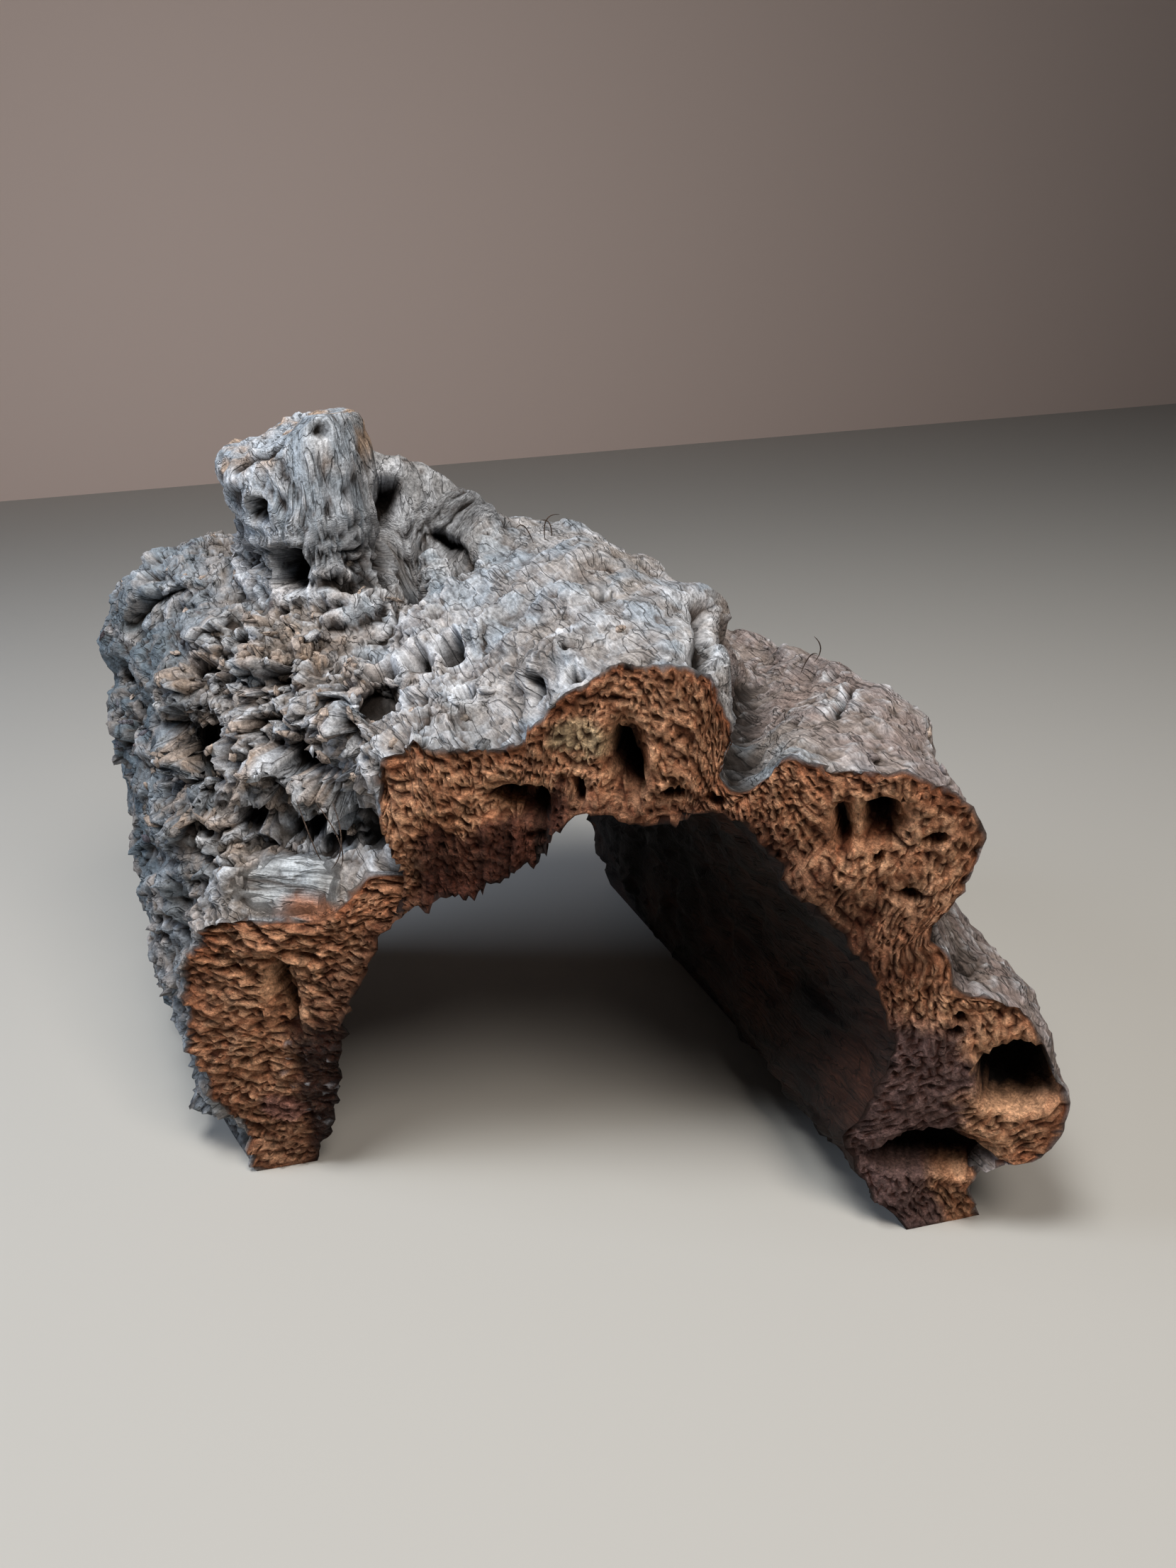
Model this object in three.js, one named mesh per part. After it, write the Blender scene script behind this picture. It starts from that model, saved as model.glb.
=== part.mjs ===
// A half tunnel of virgin cork oak bark: one thick, curved slab that lies on its two long edges like an arch.
// Units are millimetres. +Z is up and +Y runs along the tunnel, from the sawn front to the broken rear.
// The slab is a bent block with three directions. s goes over the arch from the left foot to the right foot,
// t goes from the front to the rear, and r goes through the bark from the weathered skin to the hollow's wall.
import * as THREE from "three";
import { mergeVertices } from "three/addons/utils/BufferGeometryUtils.js";

// Steps of the mesh: over the arch, along the tunnel and through the bark.
const stepsOver = 78;
const stepsAlong = 42;
const stepsThrough = 7;

// The skin's long lines in order over the arch. Each has five stations from the front to the rear.
const skinRails = [
  { name: "left foot", at: [[-131, -24, 0], [-144, 30, 0], [-150, 88, 0], [-152, 145, 0], [-146, 198, 0]] },
  { name: "left shin", at: [[-146, -16, 36], [-154, 30, 36], [-160, 88, 40], [-162, 145, 42], [-154, 200, 42]] },
  { name: "left leg", at: [[-152, -12, 80], [-157, 30, 88], [-162, 88, 92], [-164, 145, 96], [-160, 202, 95]] },
  { name: "left knee", at: [[-141, -18, 126], [-154, 30, 138], [-160, 88, 148], [-164, 145, 152], [-162, 203, 150]] },
  { name: "left haunch", at: [[-121, -30, 142], [-146, 28, 180], [-152, 85, 198], [-160, 145, 206], [-162, 203, 200]] },
  { name: "left step", at: [[-83, -52, 148], [-120, 22, 204], [-140, 82, 232], [-150, 143, 240], [-152, 203, 236]] },
  { name: "left shoulder", at: [[-63, -63, 181], [-88, 8, 220], [-114, 75, 248], [-129, 142, 268], [-130, 203, 262]] },
  { name: "step edge", at: [[-54, -69, 226], [-62, -4, 236], [-80, 68, 254], [-102, 136, 274], [-108, 203, 274]] },
  { name: "roof left", at: [[-28, -84, 230], [-35, -12, 244], [-48, 60, 256], [-62, 132, 266], [-70, 203, 270]] },
  { name: "roof", at: [[-2, -98, 237], [-5, -25, 252], [-12, 50, 260], [-25, 126, 266], [-32, 203, 268]] },
  { name: "crest left", at: [[24, -113, 264], [22, -38, 270], [18, 38, 270], [10, 116, 268], [5, 198, 264]] },
  { name: "crest", at: [[43, -124, 267], [56, -50, 278], [60, 28, 284], [58, 108, 280], [50, 192, 268]] },
  { name: "crest right", at: [[61, -134, 259], [90, -72, 264], [96, 10, 274], [94, 92, 272], [90, 186, 258]] },
  { name: "valley", at: [[73, -141, 222], [112, -70, 219], [146, -10, 214], [150, 78, 210], [134, 182, 216]] },
  { name: "lobe crest", at: [[112, -164, 229], [142, -112, 232], [170, -50, 228], [176, 55, 214], [160, 174, 198]] },
  { name: "lobe shoulder", at: [[139, -179, 221], [170, -122, 218], [192, -55, 206], [196, 45, 188], [182, 167, 168]] },
  { name: "right side", at: [[153, -187, 197], [175, -130, 180], [200, -58, 166], [204, 42, 154], [192, 162, 138]] },
  { name: "waist", at: [[149, -184, 134], [180, -132, 138], [202, -60, 130], [204, 42, 122], [194, 160, 110]] },
  { name: "top of the leg lobe", at: [[176, -200, 116], [203, -150, 110], [212, -70, 102], [210, 36, 94], [198, 158, 86]] },
  { name: "leg lobe", at: [[194, -210, 74], [214, -152, 76], [216, -74, 72], [213, 34, 66], [200, 156, 60]] },
  { name: "lip of the undercut", at: [[187, -206, 47], [206, -150, 50], [212, -70, 50], [209, 35, 46], [197, 156, 42]] },
  { name: "undercut", at: [[167, -195, 33], [190, -142, 28], [203, -68, 28], [202, 34, 26], [192, 155, 24]] },
  { name: "right foot", at: [[176, -185, 0], [190, -134, 0], [194, -62, 0], [196, 40, 0], [186, 160, 0]] },
];

// The hollow's long lines in the same order, with four stations each.
const hollowRails = [
  { name: "left foot", at: [[-102, -28, 0], [-110, 44, 0], [-114, 118, 0], [-112, 201, 0]] },
  { name: "left wall", at: [[-89, -47, 48], [-104, 34, 48], [-112, 114, 48], [-112, 201, 50]] },
  { name: "left haunch", at: [[-80, -53, 92], [-98, 28, 94], [-108, 112, 98], [-112, 200, 102]] },
  { name: "left vault", at: [[-64, -63, 135], [-80, 22, 144], [-90, 108, 155], [-97, 198, 160]] },
  { name: "vault", at: [[-43, -75, 158], [-58, 14, 170], [-68, 102, 184], [-74, 196, 190]] },
  { name: "high vault", at: [[-15, -90, 173], [-24, 5, 186], [-30, 96, 198], [-35, 194, 204]] },
  { name: "apex left", at: [[12, -106, 198], [6, -8, 200], [2, 90, 206], [0, 193, 208]] },
  { name: "apex", at: [[42, -123, 197], [36, -20, 204], [32, 84, 207], [30, 192, 206]] },
  { name: "apex right", at: [[71, -140, 203], [70, -32, 198], [66, 78, 197], [63, 191, 196]] },
  { name: "right vault", at: [[94, -153, 170], [96, -40, 170], [98, 74, 170], [97, 190, 168]] },
  { name: "right haunch", at: [[121, -168, 125], [118, -50, 125], [118, 69, 126], [117, 189, 126]] },
  { name: "right wall", at: [[130, -174, 90], [128, -55, 88], [127, 66, 86], [126, 188, 84]] },
  { name: "right sill", at: [[115, -165, 43], [119, -50, 42], [121, 68, 42], [129, 188, 42]] },
  { name: "right foot", at: [[140, -180, 0], [143, -58, 0], [142, 64, 0], [141, 186, 0]] },
];

// Ridges (rise above 0) and furrows (below 0) along a path over the skin. The rise goes from first to last.
const strokes = [
  {
    name: "cave over the left knee", first: -26, last: -30, width: 12,
    path: [[-128, -8, 188], [-104, -26, 186], [-84, -40, 186], [-70, -48, 184]],
  },
  {
    name: "plate under the cave", first: 9, last: 7, width: 10,
    path: [[-122, -22, 160], [-104, -34, 160], [-84, -46, 158]],
  },
  {
    name: "upper flank furrow", first: -8, last: -12, width: 9,
    path: [[-150, 50, 196], [-160, 140, 212]],
  },
  {
    name: "lower flank furrow", first: -8, last: -8, width: 8,
    path: [[-154, 30, 150], [-163, 130, 160]],
  },
  {
    name: "valley floor", first: -10, last: -12, width: 9,
    path: [[73, -141, 222], [112, -70, 219], [146, -10, 214]],
  },
  {
    name: "side furrow", first: -8, last: -12, width: 12,
    path: [[152, -188, 155], [196, -95, 145], [206, 20, 135]],
  },
  {
    name: "pocket beside the collar", first: -30, last: -18, width: 7,
    path: [[-7, 84, 266], [-11, 70, 264], [-13, 58, 262]],
  },
  {
    name: "crease round the knob", first: -20, last: -10, width: 6,
    path: [[-4, 84, 266], [14, 80, 266], [23, 62, 264], [17, 44, 262]],
  },
  {
    name: "roof front fold", first: 5, last: 6, width: 11,
    path: [[-40, -52, 236], [-4, -60, 244], [20, -80, 262]],
  },
  {
    name: "groove behind the fold", first: -7, last: -6, width: 8,
    path: [[-44, -24, 240], [-6, -30, 250], [30, -20, 270]],
  },
];

// Round knobs (rise above 0) and hollows (below 0) of the skin; each fades out at its reach.
const knobs = [
  { name: "rear left lobe", rise: 5, reach: 52, at: [-140, 178, 236] },
  { name: "knob in the pocket", rise: 14, reach: 21, at: [4, 68, 264] },
  { name: "lump beside the crest", rise: 11, reach: 24, at: [100, -48, 262] },
  { name: "skirt of the stump", rise: 13, reach: 46, at: [-44, 62, 262] },
  { name: "dip of the roof", rise: -9, reach: 34, at: [-40, 22, 248] },
  { name: "dip before the crest", rise: -6, reach: 24, at: [12, 10, 266] },
  { name: "left rough hollow", rise: -10, reach: 24, at: [-112, 30, 208] },
];

// The collar of a lost branch, a stump that stands on the roof's rear left. Its top is level on the right (dx above
// levelFrom) and slopes down to the left as far as slopeTo.
const collar = {
  x: -50, y: 112, rise: 76, left: 43, right: 47, front: 60, back: 48, plateau: 0.6,
  lean: 0.0075, levelFrom: 4, slopeTo: -35,
};
// The horn at the stump's left, which stands out over its neck: how far, and the rise where it starts and is full.
const horn = { reach: 11, from: 24, full: 56, across: 26 };
// The wing of the collar, a ridge that comes down from the stump towards the crest.
const wing = { name: "wing", first: 68, last: 0, width: 19, path: [[-22, 112], [10, 106], [36, 101], [58, 98]] };

// Hollows in the sawn front, at u along the face from the left foot and z up it.
const frontHollows = [
  { name: "slot in the crest", u: 187, z: 225, reachU: 9, reachZ: 20, depth: 16 },
  { name: "left twin", u: 137, z: 205, reachU: 11, reachZ: 9, depth: 10 },
  { name: "right twin", u: 150, z: 204, reachU: 10, reachZ: 9, depth: 10 },
  { name: "right shoulder hollow", u: 289, z: 203, reachU: 13, reachZ: 14, depth: 17 },
  { name: "right shoulder slot", u: 273, z: 200, reachU: 8, reachZ: 18, depth: 13 },
  { name: "leg hollow", u: 354, z: 88, reachU: 21, reachZ: 19, depth: 20 },
  { name: "hollow of the left leg", u: 27, z: 104, reachU: 8, reachZ: 26, depth: 9 },
  { name: "undercut above the right foot", u: 322, z: 44, reachU: 27, reachZ: 11, depth: 15 },
];

// Lumps that cover the skin, the hollow's wall and the sawn front: size across and how far they rise.
const skinLumps = [{ size: 42, rise: 6 }, { size: 19, rise: 3.5 }];
const hollowLumps = [{ size: 50, rise: 4 }];
const frontLumps = [{ size: 27, rise: 3.5 }];
const rearLumps = [{ size: 34, rise: 9 }];

const fade = (x) => {
  const c = Math.min(1, Math.max(0, x));
  return c * c * (3 - 2 * c);
};
const mix = (a, b, f) => a + (b - a) * f;

// Gradient noise from an integer hash, about -1 to 1, with cells one unit wide.
function hash(x, y, z) {
  let h = Math.imul(x, 73856093) ^ Math.imul(y, 19349663) ^ Math.imul(z, 83492791);
  h = Math.imul(h ^ (h >>> 13), 1274126177);
  return (h ^ (h >>> 16)) >>> 0;
}
function noise(x, y, z) {
  const [i, j, k] = [Math.floor(x), Math.floor(y), Math.floor(z)];
  const [u, v, w] = [x - i, y - j, z - k];
  const corner = (a, b, c) => {
    const h = hash(i + a, j + b, k + c);
    const slope = (shift) => ((h >>> shift) & 1023) / 511.5 - 1;
    return slope(0) * (u - a) + slope(10) * (v - b) + slope(20) * (w - c);
  };
  const [fu, fv, fw] = [u, v, w].map((q) => q * q * q * (q * (q * 6 - 15) + 10));
  const face = (c) =>
    mix(mix(corner(0, 0, c), corner(1, 0, c), fu), mix(corner(0, 1, c), corner(1, 1, c), fu), fv);
  return 1.4 * mix(face(0), face(1), fw);
}
const lumps = (list, p) =>
  list.reduce((sum, { size, rise }) => sum + rise * noise(p.x / size, p.y / size, p.z / size), 0);

// A smooth surface through the rails: a curve along each rail, then one across them all.
function railSurface(rails) {
  const lines = rails.map((rail) =>
    new THREE.CatmullRomCurve3(rail.at.map((p) => new THREE.Vector3(...p)), false, "catmullrom", 0.5));
  const sections = new Map();
  return (s, t) => {
    if (!sections.has(t)) {
      const section = lines.map((line) => line.getPoint(t));
      sections.set(t, new THREE.CatmullRomCurve3(section, false, "catmullrom", 0.5));
    }
    return sections.get(t).getPoint(s);
  };
}
const skinBase = railSurface(skinRails);
const hollowBase = railSurface(hollowRails);

// The unit normal of a rail surface, on the side away from the hollow.
function normalOf(surface, s, t) {
  const e = 0.004;
  const [sa, sb] = [Math.max(0, s - e), Math.min(1, s + e)];
  const [ta, tb] = [Math.max(0, t - e), Math.min(1, t + e)];
  const over = surface(sb, t).sub(surface(sa, t));
  const along = surface(s, tb).sub(surface(s, ta));
  return over.cross(along).normalize();
}

// How far the skin stands off its base at p along a stroke, by the distance from its path.
function strokeRise({ path, first, last, width }, p) {
  let nearest = Infinity;
  let at = 0;
  for (let i = 1; i < path.length; i++) {
    const line = new THREE.Line3(new THREE.Vector3(...path[i - 1]), new THREE.Vector3(...path[i]));
    const f = line.closestPointToPointParameter(p, true);
    const d = line.at(f, new THREE.Vector3()).distanceTo(p);
    if (d < nearest) [nearest, at] = [d, (i - 1 + f) / (path.length - 1)];
  }
  return mix(first, last, at) * Math.exp(-((nearest / width) ** 2));
}

// How high the stump and its wing lift the roof above x and y.
function collarRise({ x, y, z }) {
  if (z < 190) return 0;
  const dx = x - collar.x;
  const dy = y - collar.y;
  const d = Math.hypot(dx / (dx < 0 ? collar.left : collar.right), dy / (dy < 0 ? collar.front : collar.back));
  const lean = 1 + collar.lean * Math.min(collar.levelFrom, Math.max(collar.slopeTo, dx));
  const stump = collar.rise * lean * fade((1 - d) / (1 - collar.plateau));
  const flat = { ...wing, path: wing.path.map(([a, b]) => [a, b, 0]) };
  return Math.max(stump, strokeRise(flat, new THREE.Vector3(x, y, 0)));
}

// How far the horn stands out to the left where the stump has lifted the skin.
const hornReach = (p) =>
  horn.reach * fade((collarRise(p) - horn.from) / (horn.full - horn.from)) * fade((collar.x - p.x) / horn.across);

// The relief ends just above the floor, so that both feet stay flat.
const footFade = (z) => fade(z / 18);

// How far the broken rear end runs out past its base line at p.
const rearBreak = { size: 46, reach: 13 };
const breakAt = (p, t) =>
  rearBreak.reach * fade((t - 0.72) / 0.28) * noise(p.x / rearBreak.size + 9.5, 0.5, p.z / rearBreak.size);

function skin(s, t) {
  const p = skinBase(s, t);
  let rise = lumps(skinLumps, p);
  for (const stroke of strokes) rise += strokeRise(stroke, p);
  for (const knob of knobs) rise += knob.rise * fade(1 - p.distanceTo(new THREE.Vector3(...knob.at)) / knob.reach);
  const q = p.clone().addScaledVector(normalOf(skinBase, s, t), rise * footFade(p.z));
  q.z = Math.max(0, q.z + collarRise(p));
  q.x -= hornReach(p);
  q.y += breakAt(p, t);
  return q;
}

function hollow(s, t) {
  const p = hollowBase(s, t);
  const q = p.clone().addScaledVector(normalOf(hollowBase, s, t), lumps(hollowLumps, p) * footFade(p.z));
  q.z = Math.max(0, q.z);
  q.y += breakAt(p, t);
  return q;
}

// The sawn front stands upright on the line between the feet, turned from the tunnel's cross direction.
const faceStart = new THREE.Vector3(-130, -25, 0);
const faceAlong = new THREE.Vector3(0.868, -0.496, 0);
const faceOut = new THREE.Vector3(-0.496, -0.868, 0);
const rearOut = new THREE.Vector3(0, 1, 0);

// How far the front stands out at p, with its hollows below 0.
function frontRise(p) {
  const u = p.clone().sub(faceStart).dot(faceAlong);
  let rise = lumps(frontLumps, p);
  for (const h of frontHollows) rise -= h.depth * fade(1.25 - Math.hypot((u - h.u) / h.reachU, (p.z - h.z) / h.reachZ));
  return rise * footFade(p.z);
}
// How far the rear stands out at p, towards +Y.
const rearRise = (p) => lumps(rearLumps, p) * footFade(p.z);

// A closed mesh of the block's six sides.
function slab() {
  const positions = [];
  const push = (...points) => points.forEach((p) => positions.push(p.x, p.y, p.z));
  const grid = (surface, over, along) =>
    Array.from({ length: over + 1 }, (_, i) =>
      Array.from({ length: along + 1 }, (_, j) => surface(i / over, j / along)));
  const skinAt = grid(skin, stepsOver, stepsAlong);
  const hollowAt = grid(hollow, stepsOver / 2, stepsAlong / 2);

  const sheet = (at, inwards) => {
    for (let i = 0; i + 1 < at.length; i++)
      for (let j = 0; j + 1 < at[i].length; j++) {
        const [a, b, c, d] = [at[i][j], at[i + 1][j], at[i + 1][j + 1], at[i][j + 1]];
        if (inwards) push(a, d, c, a, c, b);
        else push(a, b, c, a, c, d);
      }
  };

  // Rows from an edge of the skin to the same edge of the hollow, which has half as many points.
  const edge = (outer, inner, turned, out, riseAt) => {
    const opposite = (i) => (i % 2 ? inner[(i - 1) / 2].clone().lerp(inner[(i + 1) / 2], 0.5) : inner[i / 2]);
    const between = (k) => outer.map((p, i) => {
      const q = p.clone().lerp(opposite(i), k / stepsThrough);
      return k && out ? q.addScaledVector(out, riseAt(q)) : q;
    });
    const at = Array.from({ length: stepsThrough }, (_, k) => between(k));
    const face = (a, b, c) => (turned ? push(a, c, b) : push(a, b, c));
    for (let k = 0; k + 1 < stepsThrough; k++)
      for (let i = 0; i + 1 < outer.length; i++) {
        face(at[k][i], at[k + 1][i], at[k + 1][i + 1]);
        face(at[k][i], at[k + 1][i + 1], at[k][i + 1]);
      }
    const last = at.at(-1);
    for (let i = 0; i + 1 < inner.length; i++) {
      face(last[2 * i], inner[i], last[2 * i + 1]);
      face(last[2 * i + 1], inner[i], inner[i + 1]);
      face(last[2 * i + 1], inner[i + 1], last[2 * i + 2]);
    }
  };

  sheet(skinAt, false);
  sheet(hollowAt, true);
  edge(skinAt.map((row) => row[0]), hollowAt.map((row) => row[0]), false, faceOut, frontRise);
  edge(skinAt.map((row) => row.at(-1)), hollowAt.map((row) => row.at(-1)), true, rearOut, rearRise);
  edge(skinAt[0], hollowAt[0], true);
  edge(skinAt.at(-1), hollowAt.at(-1), false);

  const geometry = new THREE.BufferGeometry();
  geometry.setAttribute("position", new THREE.Float32BufferAttribute(positions, 3));
  geometry.computeBoundingBox();
  const { min, max } = geometry.boundingBox;
  geometry.translate(-(min.x + max.x) / 2, -(min.y + max.y) / 2, -min.z);
  const closed = mergeVertices(geometry, 1e-3);
  closed.computeVertexNormals();
  return closed;
}

const bark = new THREE.Mesh(
  slab(),
  new THREE.MeshStandardMaterial({ color: 0x8b8782, roughness: 0.95, metalness: 0 }),
);
bark.name = "bark";
const piece = new THREE.Group();
piece.add(bark);
export default piece;
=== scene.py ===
# A half tunnel of virgin cork oak bark: a thick arched slab with a sawn front, a weathered grey skin and the
# stump of a branch. Shapes are worked out in millimetres with numpy and put into the meshes in metres.
import math
import bpy
import numpy as np
from mathutils import Matrix, Vector


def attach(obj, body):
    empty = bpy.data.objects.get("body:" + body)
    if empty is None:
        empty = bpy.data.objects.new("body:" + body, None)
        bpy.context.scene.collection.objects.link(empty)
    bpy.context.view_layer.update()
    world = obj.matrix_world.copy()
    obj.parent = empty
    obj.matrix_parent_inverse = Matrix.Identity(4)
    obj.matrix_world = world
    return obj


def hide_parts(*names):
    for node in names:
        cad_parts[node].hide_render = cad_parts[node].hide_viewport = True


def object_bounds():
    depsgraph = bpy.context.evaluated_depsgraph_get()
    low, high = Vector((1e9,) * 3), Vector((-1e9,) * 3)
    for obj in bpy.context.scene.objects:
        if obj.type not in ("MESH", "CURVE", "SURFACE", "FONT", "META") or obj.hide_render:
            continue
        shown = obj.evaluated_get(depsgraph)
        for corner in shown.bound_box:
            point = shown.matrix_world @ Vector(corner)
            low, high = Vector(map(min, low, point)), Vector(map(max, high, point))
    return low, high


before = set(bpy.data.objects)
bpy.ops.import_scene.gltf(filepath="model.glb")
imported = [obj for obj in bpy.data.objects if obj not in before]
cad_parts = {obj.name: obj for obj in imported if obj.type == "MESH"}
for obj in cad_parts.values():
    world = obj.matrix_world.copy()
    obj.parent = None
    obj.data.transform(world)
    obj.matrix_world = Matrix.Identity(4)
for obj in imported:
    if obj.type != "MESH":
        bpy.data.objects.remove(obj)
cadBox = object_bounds()
scene = bpy.context.scene
print("frame loaded")

# Camera, floor and light.
cameraSettings = {
    "place": (-0.1560, -0.5187, 0.4000),
    "turnRight": 20.0,  # degrees from +Y towards +X
    "tiltDown": 23.0,
    "roll": -2.0,
    "lens": 27.08,
    "clipStart": 0.01,
}


def makeCamera(settings):
    data = bpy.data.cameras.new("camera")
    data.lens = settings["lens"]
    data.clip_start = settings["clipStart"]
    camera = bpy.data.objects.new("camera", data)
    turn = Matrix.Rotation(math.radians(-settings["turnRight"]), 4, "Z")
    tilt = Matrix.Rotation(math.radians(90 - settings["tiltDown"]), 4, "X")
    roll = Matrix.Rotation(math.radians(settings["roll"]), 4, "Z")
    camera.matrix_world = Matrix.Translation(settings["place"]) @ turn @ tilt @ roll
    scene.collection.objects.link(camera)
    scene.camera = camera


# An sRGB hex colour as the linear numbers that shaders take.
def linear(code):
    parts = np.array([int(code[i:i + 2], 16) / 255 for i in (1, 3, 5)])
    return np.where(parts <= 0.04045, parts / 12.92, ((parts + 0.055) / 1.055) ** 2.4)


# Adds one shader node with its settings, and links given as input name: (node, output name).
def addNode(tree, kind, settings=None, values=None, links=None):
    node = tree.nodes.new(kind)
    for key, value in (settings or {}).items():
        setattr(node, key, value)
    for key, value in (values or {}).items():
        node.inputs[key].default_value = value
    for key, (source, output) in (links or {}).items():
        tree.links.new(source.outputs[output], node.inputs[key])
    return node


def newMaterial(name):
    material = bpy.data.materials.new(name)
    material.use_nodes = True
    material.node_tree.nodes.clear()
    return material, material.node_tree


floorSettings = {
    "colour": "#bbbab5",
    "wallColour": "#e6d2c8",
    "roughness": 0.9,
    "halfSize": 4.0,
    "wallAt": 2.4,
}


# A level sheet of pale paper, and a plain pale wall far behind it.
def makeFloor(settings):
    h, y = settings["halfSize"], settings["wallAt"]
    sheets = {
        "floor": ([(-h, -h, 0), (h, -h, 0), (h, y, 0), (-h, y, 0)], settings["colour"]),
        "wall": ([(-h, y, 0), (h, y, 0), (h, y, h), (-h, y, h)], settings["wallColour"]),
    }
    for name, (corners, colour) in sheets.items():
        mesh = bpy.data.meshes.new(name)
        mesh.from_pydata(corners, [], [(0, 1, 2, 3)])
        sheet = bpy.data.objects.new(name, mesh)
        scene.collection.objects.link(sheet)
        # Matt pale paper.
        material, tree = newMaterial(name + "Paper")
        shader = addNode(tree, "ShaderNodeBsdfPrincipled",
                         values={"Base Color": (*linear(colour), 1), "Roughness": settings["roughness"]})
        addNode(tree, "ShaderNodeOutputMaterial", links={"Surface": (shader, "BSDF")})
        mesh.materials.append(material)


lightSettings = {
    "sky": ("#cfd6dd", 0.035),
    "aim": (0, 0, 0.12),
    "lamps": [
        # name, place, size, power, colour
        ("ceiling", (-0.35, -0.3, 1.6), 0.5, 18, "#fbfaf8"),
        ("window", (-1.5, 0.45, 1.2), 0.9, 15, "#d8e4f7"),
        ("room", (0.2, -1.0, 1.5), 0.6, 14, "#fff3e8"),
    ],
}


def makeLights(settings):
    world = bpy.data.worlds.new("sky")
    world.use_nodes = True
    scene.world = world
    colour, strength = settings["sky"]
    background = world.node_tree.nodes["Background"]
    background.inputs["Color"].default_value = (*linear(colour), 1)
    background.inputs["Strength"].default_value = strength
    for name, place, size, power, tint in settings["lamps"]:
        data = bpy.data.lights.new(name, "AREA")
        data.size = size
        data.energy = power
        data.color = linear(tint)
        lamp = bpy.data.objects.new(name, data)
        lamp.location = place
        way = Vector(settings["aim"]) - Vector(place)
        lamp.rotation_euler = way.to_track_quat("-Z", "Y").to_euler()
        scene.collection.objects.link(lamp)


makeCamera(cameraSettings)
makeFloor(floorSettings)
makeLights(lightSettings)
scene.view_settings.view_transform = "Standard"
print("camera, floor and lights made")

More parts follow.
